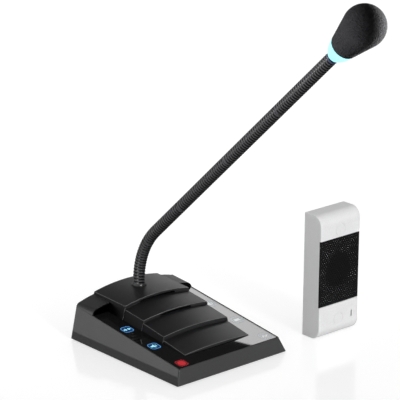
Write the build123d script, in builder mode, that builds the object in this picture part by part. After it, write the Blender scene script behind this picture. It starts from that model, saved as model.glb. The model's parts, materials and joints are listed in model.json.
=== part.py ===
"""Teller window intercom: a desk console with a gooseneck microphone, and its customer panel.

Millimetres. X is the operator's right, Y runs from the front edge to the rear, Z is up.
The origin is on the desk, under the middle of the console.
"""

import os
from collections import namedtuple
from math import acos, atan2, cos, radians, sin, sqrt, tan

from build123d import *

os.makedirs("parts", exist_ok=True)

# ---- clearances ----
seat_gap = 0.15  # round a piece that drops into its recess
screw_gap = 0.1  # round a screw's shank or head
key_gap = 0.2  # round a travelling key
joint_gap = 0.1  # between the ball and the socket of a gooseneck joint

# ---- console case ----
foot_height = 1.0
console_width = 115.0
console_depth = 133.2
side_lean = 4.8  # how far each side wall leans in between foot and top
front_lean = 4.0
rear_lean = 1.2
front_height = 13.1  # top front edge above the desk
plate_slope = 6.85  # degrees, rise of the key plate to the rear
case_wall = 2.2
deck_thickness = 1.8
case_edge = 0.5  # rounding of the case's top edges
case_corner = 1.2  # rounding of its four corners
base_thickness = 2.2
shoulder_setback = 21.8  # from the shoulders' front to the console's rear edge
shoulder_rise = 7.0  # above the key plate, at the front of a shoulder
shoulder_rear_rise = 6.0
shoulder_inset = 5.0  # from the console's side to the shoulder's outer edge
shoulder_crown = 0.3  # bulge of a shoulder's top
brow_inset = 4.2  # from the shoulder's outer edge to where its top rounds off
brow_rise = 4.4  # height of that line above the key plate, at the front
brow_rear_rise = 2.6
brow_bulge = 0.5
shoulder_lap = 0.7  # how far a shoulder runs in past the speaker cover's edge
shoulder_wall = 2.0

# ---- key overlay ----
overlay_thickness = 1.0
overlay_rim = 0.7  # strip of case left round the overlay
upstand_thickness = 1.0

# ---- keys ----
key_radius = 5.6
key_inset = 13.5  # key centre in from the console's side
key_setback = 11.2  # centre of the front keys behind the console's front edge
key_pitch = 33.2
key_proud = 0.2
key_travel = 0.5
key_flange_radius = 6.3
key_flange_thickness = 1.2
key_edge = 0.3
switch_side = 6.0
switch_body = 2.5
switch_plunger = 0.6
switch_plunger_radius = 1.75

# ---- speaker cover ----
Tier = namedtuple("Tier", "front front_height front_crown rear rear_height rear_crown")
tier_inset = 23.8  # from the console's side to the tiers' side edge
tier_lap = 6.0  # how far a tier runs on under the lip above it
cover_setback = 1.4  # from the cover's rear to the console's rear edge
lip_setbacks = (40.9, 63.7, 88.5, 114.0)  # each tier's front lip, from the console's rear edge
lip_heights = (34.7, 29.1, 22.9, 15.5)  # side edge of each lip above the desk
lip_crowns = (3.8, 2.6, 2.3, 1.4)  # rise of a lip's middle above its side edge
root_heights = (35.8, 31.8, 26.7, 19.9)  # side edge of each tier's rear end above the desk
root_crowns = (3.7, 3.2, 2.5, 2.0)
cover_wall = 2.0
cover_draft = 0.28  # side wall's lean outwards per unit of height
cover_skirt = 8.0  # how far the tiers' form runs down through the key plate
lip_edge = 0.5  # rounding of the tiers' top edges
slot_height = 1.6
slot_half_widths = (18.5, 16.0)  # under the first and the second lip
collar_seat = 0.4  # flat cut into the roof round the gooseneck, below the neck's base
cover_screw_inset = 6.2  # from the tiers' side edge
cover_screw_setbacks = (28.6, 78.6)  # from the console's rear edge

# ---- speaker ----
speaker_setback = 60.6  # speaker's axis from the console's rear edge
speaker_radius = 21.0
speaker_flange = 1.0
speaker_mouth = 16.0
basket_depth = 8.0
basket_radius = 12.0
magnet_radius = 13.0
magnet_thickness = 5.0
speaker_screw_ring = 19.1
cone_depth = 5.2
cone_wall = 0.5
cap_radius = 6.0
cap_rise = 1.5
sound_hole_radius = 15.5

# ---- screws ----
screw_radius = 1.4
screw_head_radius = 2.6
screw_head = 1.2
screw_well = 1.3  # depth of the base cover's screw wells
case_screw_length = 7.0
cover_screw_length = 4.8
board_screw_length = 4.6
small_screw_radius = 1.0
small_screw_head_radius = 1.9
small_screw_head = 1.0
speaker_screw_length = 2.6
rear_board_screw_length = 4.0
back_screw_length = 7.0
boss_radius = 3.0
front_case_screw_x = 20.0
rear_case_screw_x = 14.5
front_case_screw_setback = 11.1  # from the console's front edge
rear_case_screw_setback = 10.6  # from its rear edge
front_board_screw_inset = 23.5  # from the console's side
rear_board_end_screw_inset = 14.5
front_board_screw_setback = 28.6  # from the console's front edge
rear_board_end_screw_setback = 32.6  # from its rear edge

# ---- circuit boards ----
board_thickness = 1.6
board_side_gap = 9.0  # from the main board's edge to the console's side
board_front_gap = 1.8  # to the front edge of the key plate
board_split = 3.0  # between the main board and the rear board
rear_board_width = 76.0
rear_board_depth = 16.0
rear_board_gap = 3.6  # to the console's rear edge
rear_board_height = 7.0
rear_board_screw_side = 3.5  # from the rear board's side edge
rear_board_screw_setback = 3.0  # from its front edge

# ---- feet ----
foot_radius = 6.0
foot_recess = 0.8
foot_inset = 13.5  # foot's centre in from the console's side
foot_setback = 12.6  # foot's centre from the console's front or rear edge

# ---- rear sockets ----
headset_x = -28.0
headset_bore = 1.8
headset_bore_depth = 14.5
headset_barrel = 3.6
headset_body = 8.0
power_x = 28.0
power_bore = 2.8
power_bore_depth = 10.0
power_pin = 1.0
power_width = 9.0
power_height = 11.0
line_x = 0.0
line_width = 13.2
line_height = 11.5
line_mouth_width = 9.9
line_mouth_height = 6.8
line_mouth_depth = 12.0
line_latch_width = 3.2
line_latch_depth = 1.4
socket_depth = 14.0

# ---- gooseneck ----
neck_radius = 4.9
neck_bore = 3.3
neck_setback = 17.7  # neck's axis from the console's rear edge
neck_base = 39.0  # height at which the neck leaves the cover
neck_root = 9.0  # length held below that
neck_rise = 3.4  # upright stretch
neck_bend_radius = 65.5
neck_lean = 46.65  # degrees forward of upright
neck_straight = 274.0
neck_first_joint = 24.0
neck_last_length = 42.0  # from the last joint to the microphone head
neck_joints = 8
collar_radius = 5.5
collar_height = 1.6
collar_flange_radius = 6.2
collar_flange = 0.9
nut_across_flats = 14.0
nut_height = 3.5
neck_pad_radius = 9.0
neck_pad_drop = 5.5  # underside of the clamping pad below the neck's base

# ---- microphone head ----
ring_length = 11.7
ring_small_radius = 5.6
ring_large_radius = 10.1
ring_belly_radius = 8.6
ring_pocket_radius = 9.0
ring_pocket_depth = 3.8
led_count = 6
led_width = 1.0
led_height = 0.9
led_board_thickness = 1.0
sleeve_radius = 4.6
sleeve_length = 37.0
sleeve_spigot = 8.0
sleeve_wire_bore = 1.5
sleeve_front_bore = 3.9
sleeve_front_depth = 9.0
capsule_radius = 3.0
capsule_length = 5.0
capsule_floor = 2.0  # thickness of the holder's floor
capsule_port = 1.0
foam_radius = 16.4
foam_centre = 40.9  # centre of the round end from the tube's end
foam_foot_radius = 10.8
foam_foot_edge = 1.8  # rounding of the foam's foot
foam_gap = 0.3

# ---- customer panel ----
panel_x = 115.6
panel_front = -66.2
panel_width = 43.8
panel_depth = 19.2
panel_height = 105.6
panel_round = 9.0  # rounding of its top and bottom front edges
panel_edge = 0.6
panel_front_wall = 3.2
panel_side_wall = 2.2
panel_end_wall = 2.8
back_plate_thickness = 2.0
grille_bottom = 28.2
grille_top_gap = 20.6  # from the grille's top to the panel's top
grille_pocket = 1.5
grille_thickness = 1.0
plug_radius = 5.0
plug_thickness = 1.6
plug_inset = 14.5  # plug's centre from the panel's lower or upper end
wall_screw_radius = 2.2
wall_screw_head = 3.9
wall_screw_well = 7.0
panel_boss_radius = 5.9
mic_inset = 7.3  # from the panel's side
mic_z = 15.5
mic_slot_width = 1.2
mic_slot_height = 5.8
boot_radius = 4.2
boot_length = 6.0
boot_collar = 1.0  # wall of the collar that holds the boot
boot_collar_depth = 3.0
panel_speaker_radius = 18.0
panel_speaker_depth = 7.0
panel_magnet_thickness = 3.0
panel_magnet_radius = 11.0
panel_mouth = 14.5
panel_basket_radius = 10.0
panel_cone_depth = 3.6
panel_cap_radius = 5.0
panel_board_depth = 5.0  # from the front wall to the panel's circuit board
panel_board_side_gap = 3.5
panel_board_bottom = 21.0
panel_board_top = 37.5
panel_board_screw_side = 3.0  # from the panel board's side edge
panel_board_screw_rise = 3.5  # from its lower edge
terminal_width = 15.0
terminal_height = 8.0
terminal_depth = 6.5
terminal_bore = 1.2
terminal_count = 3
panel_post_radius = 2.6
panel_post_side = 5.3  # post's centre from the panel's side
panel_post_inset = 7.5  # and from its lower or upper end
inlet_drop = 27.6  # cable inlet below the panel's top
inlet_radius = 3.0
grommet_radius = 4.2
grommet_flange = 5.4
grommet_flange_thickness = 0.8

# ---- derived places ----
side_edge = console_width / 2
front_edge = -console_depth / 2
rear_edge = console_depth / 2
top_front = front_edge + front_lean
top_rear = rear_edge - rear_lean
shoulder_front = rear_edge - shoulder_setback
tier_half_width = side_edge - tier_inset
shoulder_inner = tier_half_width - shoulder_lap
shoulder_outer = side_edge - shoulder_inset
speaker_y = rear_edge - speaker_setback
neck_y = rear_edge - neck_setback
cover_rear = rear_edge - cover_setback
lips = [rear_edge - setback for setback in lip_setbacks]
roots = [cover_rear - tier_lap, *lips]
tiers = [Tier(*sizes) for sizes in zip(lips, lip_heights, lip_crowns, roots, root_heights, root_crowns)]
deck_top = overlay_thickness
deck_underside = overlay_thickness + deck_thickness
base_top = foot_height + base_thickness
key_flange_top = deck_underside + key_gap
key_bottom = key_flange_top + key_flange_thickness
key_rest_gap = key_travel + 0.1
board_top = key_bottom + key_rest_gap + switch_plunger + switch_body
board_underside = board_top + board_thickness
board_half_width = side_edge - board_side_gap
board_front = top_front + board_front_gap
rear_board_rear = rear_edge - rear_board_gap
rear_board_front = rear_board_rear - rear_board_depth
board_rear = rear_board_front - board_split
socket_rear = rear_edge - rear_lean / 2
socket_floor = rear_board_height + board_thickness
headset_height = socket_floor + headset_barrel
slope = radians(plate_slope)
lean = radians(neck_lean)


def both_sides(x, y):
    """A spot and its mirror image across the middle plane."""
    return [(-x, y), (x, y)]


foot_spots = both_sides(side_edge - foot_inset, front_edge + foot_setback)
foot_spots += both_sides(side_edge - foot_inset, rear_edge - foot_setback)
case_screw_spots = both_sides(front_case_screw_x, front_edge + front_case_screw_setback)
case_screw_spots += both_sides(rear_case_screw_x, rear_edge - rear_case_screw_setback)
board_screw_spots = both_sides(
    side_edge - front_board_screw_inset, front_edge + front_board_screw_setback
)
board_screw_spots += both_sides(
    side_edge - rear_board_end_screw_inset, rear_edge - rear_board_end_screw_setback
)
rear_board_screw_spots = both_sides(
    rear_board_width / 2 - rear_board_screw_side, rear_board_front + rear_board_screw_setback
)
cover_screw_spots = [
    spot
    for setback in cover_screw_setbacks
    for spot in both_sides(tier_half_width - cover_screw_inset, rear_edge - setback)
]


def plate_height(y):
    """Height of the sloping key plate above the desk at depth y."""
    return front_height + (y - top_front) * tan(slope)


def along(y, drop=0):
    """Distance up the sloping plate that lies at depth y, on a plane drop below the plate."""
    return (y - drop * sin(slope)) / cos(slope)


plate_normal = (0, -sin(slope), cos(slope))
plate = Plane(origin=(0, 0, plate_height(0)), x_dir=(1, 0, 0), z_dir=plate_normal)


def at_depth(y):
    """Upright plane across the console, whose own axes are X and Z."""
    return Plane.XZ.offset(-y)


def on_axis(origin, direction):
    """Plane holding a turned piece's axis: its Y runs along the axis, its X is the radius."""
    tilt = atan2(-direction[1], direction[2])
    return Plane(origin=origin, x_dir=(1, 0, 0), z_dir=(0, -cos(tilt), -sin(tilt)))


# =============================== console case ===============================


def wedge(inset, drop):
    """The console's wedge, with each wall moved in by inset and its top lowered by drop."""
    with BuildPart() as form:
        with BuildSketch(Plane.XY.offset(foot_height)):
            Rectangle(console_width - 2 * inset, console_depth - 2 * inset)
        with BuildSketch(plate.offset(-drop)):
            with Locations((0, along((top_front + top_rear) / 2))):
                Rectangle(
                    console_width - 2 * side_lean - 2 * inset,
                    along(top_rear - top_front) - 2 * inset,
                )
        loft(ruled=True)
    return form.part


def shoulder_face(side, y, inner, shrink, floor):
    """Cross-section of a shoulder: its top falls gently outwards and then rounds off to the side."""
    share = (y - shoulder_front) / (rear_edge - shoulder_front)
    level = plate_height(y)
    crest = level + shoulder_rise + share * (shoulder_rear_rise - shoulder_rise) - shrink
    brow = level + brow_rise + share * (brow_rear_rise - brow_rise) - shrink
    brow_x = shoulder_outer - brow_inset - shrink / 2
    reach = shoulder_outer - shrink
    start = crest + (brow - crest) * (inner - shoulder_inner) / (brow_x - shoulder_inner)
    with BuildSketch(at_depth(y)) as face:
        with BuildLine():
            ThreePointArc(
                (side * inner, start),
                (side * (inner + brow_x) / 2, (start + brow) / 2 + shoulder_crown),
                (side * brow_x, brow),
            )
            ThreePointArc(
                (side * brow_x, brow),
                (side * ((brow_x + reach) / 2 + brow_bulge), (brow + level) / 2 + brow_bulge),
                (side * reach, level),
            )
            Polyline(
                (side * reach, level),
                (side * reach, level - floor),
                (side * inner, level - floor),
                (side * inner, start),
            )
        make_face()
    return face.sketch


def shoulders(front, rear, inner, shrink, floor):
    """Both shoulders as solids between two depths."""
    with BuildPart() as form:
        for side in (-1, 1):
            loft([shoulder_face(side, y, inner, shrink, floor) for y in (front, rear)], ruled=True)
    return form.part


def roof(tier, y):
    """Height of a tier's side edge and the rise of its crown at depth y."""
    share = (y - tier.front) / (tier.rear - tier.front)
    edge = tier.front_height + share * (tier.rear_height - tier.front_height)
    crown = tier.front_crown + share * (tier.rear_crown - tier.front_crown)
    return edge, crown


def roof_height(tier, x, y):
    """Height of a tier's arched roof at a point."""
    edge, crown = roof(tier, y)
    radius = (tier_half_width**2 + crown**2) / (2 * crown)
    return edge + crown - radius + sqrt(radius**2 - x**2)


def tier_block(tier, grow, rounding):
    """One tier as a solid, every face moved out by grow, with its top edges rounded."""
    half = tier_half_width + grow
    with BuildPart() as block:
        for y in (tier.front - grow, tier.rear + tier_lap + grow):
            edge, crown = roof(tier, y)
            edge += grow
            floor = plate_height(y) - cover_skirt
            foot = half + cover_draft * (edge - floor)
            with BuildSketch(at_depth(y)):
                with BuildLine():
                    ThreePointArc((-half, edge), (0, edge + crown), (half, edge))
                    Polyline((half, edge), (foot, floor), (-foot, floor), (-half, edge))
                make_face()
        loft(ruled=True)
        if rounding:
            front_edges = block.faces().sort_by(Axis.Y)[0].edges().sort_by(Axis.Z)[1:]
            roof_edges = block.faces().sort_by(Axis.Z)[-1].edges().sort_by(Axis.X)
            fillet([*front_edges, roof_edges[0], roof_edges[-1]], rounding)
    return block.part


def cover_form(grow, rounding=0):
    """Solid of the four overlapping tiers above the deck, every face moved out by grow."""
    with BuildPart() as form:
        for tier in tiers:
            add(tier_block(tier, grow, rounding))
        split(bisect_by=plate.offset(-deck_top), keep=Keep.TOP)
    return form.part


def screws(seat, spots, length, radius, head_radius, head_height, turn=1):
    """A set of screws: their heads bear on the seat plane and their shanks run along its normal."""
    with BuildPart() as group:
        for size, amount in ((radius, turn * length), (head_radius, -turn * head_height)):
            with BuildSketch(seat):
                with Locations(*spots):
                    Circle(size)
            extrude(amount=amount)
    return group.part


def up_the_plate(spots):
    """Spots given by X and depth, as places on the sloping plate."""
    return [(x, along(y)) for x, y in spots]


key_spots = {
    (side, row): (sign * (side_edge - key_inset), front_edge + key_setback + step * key_pitch)
    for side, sign in (("left", -1), ("right", 1))
    for step, row in enumerate(("front", "middle", "rear"))
}
key_places = up_the_plate(key_spots.values())
speaker_screw_places = [
    (across * speaker_screw_ring / sqrt(2), along(speaker_y) + up * speaker_screw_ring / sqrt(2))
    for across in (-1, 1)
    for up in (-1, 1)
]

with BuildPart() as case_bosses:
    with BuildSketch(Plane.XY.offset(base_top)):
        with Locations(*case_screw_spots):
            Circle(boss_radius)
    extrude(amount=plate_height(console_depth))
    with BuildSketch(plate.offset(-board_top)):
        with Locations(*up_the_plate(board_screw_spots)):
            Circle(boss_radius)
    extrude(amount=board_top)
    add(wedge(case_wall / 2, deck_top + deck_thickness / 2), mode=Mode.INTERSECT)

with BuildPart() as upper_housing:
    add(wedge(0, 0))
    corners = upper_housing.edges().filter_by(
        lambda e: e.bounding_box().size.Z > front_height / 2 and e.bounding_box().size.Y < 2 * front_lean
    )
    fillet(corners, case_corner)
    fillet(upper_housing.faces().sort_by(Axis.Z)[-1].edges(), case_edge)
    add(shoulders(shoulder_front, top_rear - case_edge, shoulder_inner, 0, deck_underside))
    add(wedge(case_wall, deck_underside), mode=Mode.SUBTRACT)
    add(
        shoulders(
            shoulder_front + shoulder_wall,
            top_rear - case_wall,
            tier_half_width + shoulder_rise,
            shoulder_wall,
            deck_underside + seat_gap,
        ),
        mode=Mode.SUBTRACT,
    )
    add(case_bosses.part)
    # recess for the overlay, and the seat of the speaker cover
    recess_half = side_edge - side_lean - overlay_rim
    with BuildSketch(plate.offset(-deck_top)):
        with Locations((0, along(top_front) + overlay_rim)):
            Rectangle(
                2 * recess_half,
                along(shoulder_front - top_front) - overlay_rim,
                align=(Align.CENTER, Align.MIN),
            )
    extrude(amount=deck_top + shoulder_rise, mode=Mode.SUBTRACT)
    add(cover_form(seat_gap), mode=Mode.SUBTRACT)
    with BuildSketch(plate):
        with Locations(*key_places):
            Circle(key_radius + key_gap)
        with Locations((0, along(speaker_y))):
            Circle(sound_hole_radius)
        with Locations((0, along(neck_y))):
            Circle(neck_radius)
        with Locations(*up_the_plate(cover_screw_spots)):
            Circle(screw_radius + screw_gap)
    extrude(amount=-2 * deck_underside, mode=Mode.SUBTRACT)
    # room for the key flanges, in the front wall too
    with BuildSketch(plate.offset(-deck_underside)):
        with Locations(*key_places):
            Circle(key_flange_radius + key_gap)
    extrude(amount=deck_underside - key_bottom - key_rest_gap, mode=Mode.SUBTRACT)
    # screw bores
    with BuildSketch(Plane.XY.offset(base_top)):
        with Locations(*case_screw_spots):
            Circle(screw_radius + screw_gap)
    extrude(amount=case_screw_length - base_thickness + screw_well, mode=Mode.SUBTRACT)
    with BuildSketch(plate.offset(-board_top)):
        with Locations(*up_the_plate(board_screw_spots)):
            Circle(screw_radius + screw_gap)
    extrude(amount=board_screw_length - board_thickness + seat_gap, mode=Mode.SUBTRACT)
    with BuildSketch(plate.offset(-deck_underside)):
        with Locations(*speaker_screw_places):
            Circle(small_screw_radius + screw_gap)
    extrude(amount=speaker_screw_length - speaker_flange, mode=Mode.SUBTRACT)
    # openings for the rear sockets
    with BuildSketch(at_depth(socket_rear - case_wall - 1)):
        with Locations((headset_x, headset_height)):
            Circle(headset_barrel + seat_gap)
        with Locations((power_x, socket_floor - seat_gap)):
            Rectangle(
                power_width + 2 * seat_gap,
                power_height + 2 * seat_gap,
                align=(Align.CENTER, Align.MIN),
            )
        with Locations((line_x, socket_floor - seat_gap)):
            Rectangle(
                line_width + 2 * seat_gap,
                line_height + 2 * seat_gap,
                align=(Align.CENTER, Align.MIN),
            )
    extrude(amount=-2 * case_wall - 1, mode=Mode.SUBTRACT)
upper_housing.part.label = "upper_housing"
export_step(upper_housing.part, "parts/upper_housing.step")

with BuildPart() as base_cover:
    add(wedge(case_wall + seat_gap, deck_underside))
    split(bisect_by=Plane.XY.offset(base_top), keep=Keep.BOTTOM)
    with BuildSketch(Plane.XY.offset(base_top)):
        with Locations(*rear_board_screw_spots):
            Circle(boss_radius)
    extrude(amount=rear_board_height - base_top)
    with BuildSketch(Plane.XY.offset(rear_board_height)):
        with Locations(*rear_board_screw_spots):
            Circle(small_screw_radius + screw_gap)
    extrude(amount=board_thickness - rear_board_screw_length - seat_gap, mode=Mode.SUBTRACT)
    with BuildSketch(Plane.XY.offset(foot_height)):
        with Locations(*case_screw_spots):
            Circle(screw_radius + screw_gap)
    extrude(amount=base_thickness, mode=Mode.SUBTRACT)
    with BuildSketch(Plane.XY.offset(foot_height)):
        with Locations(*case_screw_spots):
            Circle(screw_head_radius + screw_gap)
    extrude(amount=screw_well, mode=Mode.SUBTRACT)
    with BuildSketch(Plane.XY.offset(foot_height)):
        with Locations(*foot_spots):
            Circle(foot_radius + seat_gap)
    extrude(amount=foot_recess, mode=Mode.SUBTRACT)
base_cover.part.label = "base_cover"
export_step(base_cover.part, "parts/base_cover.step")

with BuildPart() as rubber_feet:
    with BuildSketch(Plane.XY.offset(foot_height + foot_recess)):
        with Locations(*foot_spots):
            Circle(foot_radius)
    extrude(amount=-foot_height - foot_recess)
    chamfer(rubber_feet.edges().group_by(Axis.Z)[0], foot_height / 3)
rubber_feet.part.label = "rubber_feet"
export_step(rubber_feet.part, "parts/rubber_feet.step")

with BuildPart() as case_screws:
    well_floor = Plane.XY.offset(foot_height + screw_well)
    add(
        screws(
            well_floor,
            case_screw_spots,
            case_screw_length,
            screw_radius,
            screw_head_radius,
            screw_head,
        )
    )
case_screws.part.label = "case_screws"
export_step(case_screws.part, "parts/case_screws.step")

# =============================== keys and their overlay ===============================

with BuildPart() as key_overlay:
    overlay_half = recess_half - seat_gap
    with BuildSketch(plate.offset(-deck_top)):
        with Locations((0, along(top_front) + overlay_rim + seat_gap)):
            Rectangle(
                2 * overlay_half,
                along(shoulder_front - top_front) - overlay_rim - 2 * seat_gap,
                align=(Align.CENTER, Align.MIN),
            )
    extrude(amount=overlay_thickness)
    upstand_rear = shoulder_front - seat_gap
    add(shoulders(upstand_rear - upstand_thickness, upstand_rear, shoulder_inner, 0, deck_top))
    add(cover_form(seat_gap), mode=Mode.SUBTRACT)
    with BuildSketch(plate):
        with Locations(*key_places):
            Circle(key_radius + key_gap)
    extrude(amount=-2 * overlay_thickness, mode=Mode.SUBTRACT)
key_overlay.part.label = "key_overlay"
export_step(key_overlay.part, "parts/key_overlay.step")

for (side, row), (key_x, key_y) in key_spots.items():
    name = f"key_{row}_{side}"
    with BuildPart() as key:
        with BuildSketch(plate.offset(key_proud)):
            with Locations((key_x, along(key_y))):
                Circle(key_radius)
        extrude(amount=-key_proud - key_flange_top)
        fillet(key.edges().sort_by(Axis((0, 0, 0), plate_normal))[-1], key_edge)
        with BuildSketch(plate.offset(-key_flange_top)):
            with Locations((key_x, along(key_y))):
                Circle(key_flange_radius)
        extrude(amount=-key_flange_thickness)
    key.part.label = name
    export_step(key.part, f"parts/{name}.step")

with BuildPart() as key_switches:
    with BuildSketch(plate.offset(-board_top)):
        with Locations(*key_places):
            Rectangle(switch_side, switch_side)
    extrude(amount=switch_body)
    with BuildSketch(plate.offset(-board_top + switch_body)):
        with Locations(*key_places):
            Circle(switch_plunger_radius)
    extrude(amount=switch_plunger)
key_switches.part.label = "key_switches"
export_step(key_switches.part, "parts/key_switches.step")

with BuildPart() as main_circuit_board:
    with BuildSketch(plate.offset(-board_top)):
        with Locations((0, along(board_front))):
            Rectangle(
                2 * board_half_width,
                along(board_rear - board_front),
                align=(Align.CENTER, Align.MIN),
            )
        with Locations((0, along(speaker_y))):
            Circle(speaker_mouth + 2, mode=Mode.SUBTRACT)
        with Locations(*[(x, along(y, board_top)) for x, y in case_screw_spots[:2]]):
            Circle(boss_radius + board_thickness / 2, mode=Mode.SUBTRACT)
        with Locations(*up_the_plate(board_screw_spots)):
            Circle(screw_radius + screw_gap, mode=Mode.SUBTRACT)
    extrude(amount=-board_thickness)
main_circuit_board.part.label = "main_circuit_board"
export_step(main_circuit_board.part, "parts/main_circuit_board.step")

with BuildPart() as board_screws:
    add(
        screws(
            plate.offset(-board_underside),
            up_the_plate(board_screw_spots),
            board_screw_length,
            screw_radius,
            screw_head_radius,
            screw_head,
        )
    )
board_screws.part.label = "board_screws"
export_step(board_screws.part, "parts/board_screws.step")

# =============================== speaker and its tiered cover ===============================

with BuildPart() as cover_bosses:
    with BuildSketch(plate.offset(-deck_top)):
        with Locations(*up_the_plate(cover_screw_spots)):
            Circle(boss_radius)
    extrude(amount=neck_base)
    with BuildSketch(Plane.XY.offset(neck_base - neck_pad_drop)):
        with Locations((0, neck_y)):
            Circle(neck_pad_radius)
    extrude(amount=neck_base)
    add(cover_form(-cover_wall / 2), mode=Mode.INTERSECT)

with BuildPart() as speaker_cover:
    add(cover_form(0, lip_edge))
    add(cover_form(-cover_wall), mode=Mode.SUBTRACT)
    add(cover_bosses.part)
    # sound slots between a lip and the roof of the tier below it
    for upper, lower, half in zip(tiers, tiers[1:], slot_half_widths):
        front = upper.front - lip_edge
        with BuildSketch(at_depth(front)):
            with BuildLine():
                lows = [(x, roof_height(lower, x, upper.front)) for x in (-half, 0, half)]
                highs = [(x, z + slot_height) for x, z in lows]
                ThreePointArc(*lows)
                Line(lows[2], highs[2])
                ThreePointArc(*highs)
                Line(highs[0], lows[0])
            make_face()
        extrude(amount=-cover_wall - 2 * lip_edge, mode=Mode.SUBTRACT)
    with BuildSketch(plate.offset(-deck_top)):
        with Locations(*up_the_plate(cover_screw_spots)):
            Circle(screw_radius + screw_gap)
    extrude(amount=cover_screw_length - deck_thickness + seat_gap, mode=Mode.SUBTRACT)
    with BuildSketch(Plane.XY.offset(neck_base - neck_pad_drop)):
        with Locations((0, neck_y)):
            Circle(collar_radius + seat_gap)
    extrude(amount=2 * neck_pad_drop, mode=Mode.SUBTRACT)
    with BuildSketch(Plane.XY.offset(neck_base - collar_seat)):
        with Locations((0, neck_y)):
            Circle(collar_flange_radius + seat_gap)
    extrude(amount=neck_pad_drop, mode=Mode.SUBTRACT)
speaker_cover.part.label = "speaker_cover"
export_step(speaker_cover.part, "parts/speaker_cover.step")

with BuildPart() as cover_screws:
    add(
        screws(
            plate.offset(-deck_underside),
            up_the_plate(cover_screw_spots),
            cover_screw_length,
            screw_radius,
            screw_head_radius,
            screw_head,
        )
    )
cover_screws.part.label = "cover_screws"
export_step(cover_screws.part, "parts/cover_screws.step")

speaker_seat = plate.offset(-deck_underside).from_local_coords((0, along(speaker_y), 0))
speaker_axis = Axis(speaker_seat, plate_normal)

with BuildPart() as speaker_frame:
    with BuildSketch(on_axis(speaker_seat, plate_normal)):
        with BuildLine():
            Polyline(
                (speaker_mouth, 0),
                (speaker_radius, 0),
                (speaker_radius, -speaker_flange),
                (speaker_mouth + speaker_flange, -speaker_flange),
                (basket_radius, speaker_flange - basket_depth),
                (basket_radius, -basket_depth),
                (0, -basket_depth),
                (0, speaker_flange - basket_depth),
                (basket_radius - speaker_flange, speaker_flange - basket_depth),
                (speaker_mouth - speaker_flange, -speaker_flange),
                (speaker_mouth, -speaker_flange),
                close=True,
            )
        make_face()
    revolve(axis=speaker_axis)
    with BuildSketch(plate.offset(-deck_underside - basket_depth)):
        with Locations((0, along(speaker_y))):
            with PolarLocations((basket_radius + speaker_mouth) / 2, 4):
                Rectangle(speaker_mouth - basket_radius - speaker_flange, basket_radius)
    extrude(amount=basket_depth - 2 * speaker_flange, mode=Mode.SUBTRACT)
    with BuildSketch(plate.offset(-deck_underside)):
        with Locations(*speaker_screw_places):
            Circle(small_screw_radius + screw_gap)
    extrude(amount=-speaker_flange, mode=Mode.SUBTRACT)
speaker_frame.part.label = "speaker_frame"
export_step(speaker_frame.part, "parts/speaker_frame.step")

with BuildPart() as speaker_cone:
    with BuildSketch(on_axis(speaker_seat, plate_normal)):
        rim = speaker_mouth - seat_gap
        with BuildLine():
            Polyline((rim, -speaker_flange), (rim, -speaker_flange / 2), (rim - 0.6, -speaker_flange / 2))
            ThreePointArc(
                (rim - 0.6, -speaker_flange / 2),
                (rim - 1.6, 0),
                (rim - 2.6, -speaker_flange / 2),
            )
            Polyline(
                (rim - 2.6, -speaker_flange / 2),
                (cap_radius, -cone_depth),
                (0, cap_rise - cone_depth),
                (0, cap_rise - cone_depth - cone_wall),
                (cap_radius, -cone_depth - cone_wall),
                (rim - 2.6, -speaker_flange / 2 - cone_wall),
                (rim - 1.6, -speaker_flange),
                (rim, -speaker_flange),
            )
        make_face()
    revolve(axis=speaker_axis)
speaker_cone.part.label = "speaker_cone"
export_step(speaker_cone.part, "parts/speaker_cone.step")

with BuildPart() as speaker_magnet:
    with BuildSketch(plate.offset(-deck_underside - basket_depth)):
        with Locations((0, along(speaker_y))):
            Circle(magnet_radius)
    extrude(amount=-magnet_thickness)
    chamfer(speaker_magnet.edges(), case_edge)
speaker_magnet.part.label = "speaker_magnet"
export_step(speaker_magnet.part, "parts/speaker_magnet.step")

with BuildPart() as speaker_screws:
    add(
        screws(
            plate.offset(-deck_underside - speaker_flange),
            speaker_screw_places,
            speaker_screw_length,
            small_screw_radius,
            small_screw_head_radius,
            small_screw_head,
        )
    )
speaker_screws.part.label = "speaker_screws"
export_step(speaker_screws.part, "parts/speaker_screws.step")

# =============================== rear board and sockets ===============================

with BuildPart() as rear_circuit_board:
    with BuildSketch(Plane.XY.offset(rear_board_height)):
        with Locations((0, (rear_board_front + rear_board_rear) / 2)):
            Rectangle(rear_board_width, rear_board_rear - rear_board_front)
        with Locations(*case_screw_spots[2:]):
            Circle(boss_radius + seat_gap, mode=Mode.SUBTRACT)
        with Locations(*rear_board_screw_spots):
            Circle(small_screw_radius + screw_gap, mode=Mode.SUBTRACT)
    extrude(amount=board_thickness)
rear_circuit_board.part.label = "rear_circuit_board"
export_step(rear_circuit_board.part, "parts/rear_circuit_board.step")

with BuildPart() as rear_board_screws:
    add(
        screws(
            Plane.XY.offset(socket_floor),
            rear_board_screw_spots,
            rear_board_screw_length,
            small_screw_radius,
            small_screw_head_radius,
            small_screw_head,
            turn=-1,
        )
    )
rear_board_screws.part.label = "rear_board_screws"
export_step(rear_board_screws.part, "parts/rear_board_screws.step")

with BuildPart() as headset_jack:
    with BuildSketch(Plane.XY.offset(socket_floor)):
        with Locations((headset_x, socket_rear - case_wall - seat_gap)):
            Rectangle(headset_body, socket_depth, align=(Align.CENTER, Align.MAX))
    extrude(amount=2 * headset_barrel)
    with BuildSketch(at_depth(socket_rear - case_wall - seat_gap)):
        with Locations((headset_x, headset_height)):
            Circle(headset_barrel)
    extrude(amount=-case_wall - seat_gap)
    with BuildSketch(at_depth(socket_rear)):
        with Locations((headset_x, headset_height)):
            Circle(headset_bore)
    extrude(amount=headset_bore_depth, mode=Mode.SUBTRACT)
headset_jack.part.label = "headset_jack"
export_step(headset_jack.part, "parts/headset_jack.step")

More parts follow.
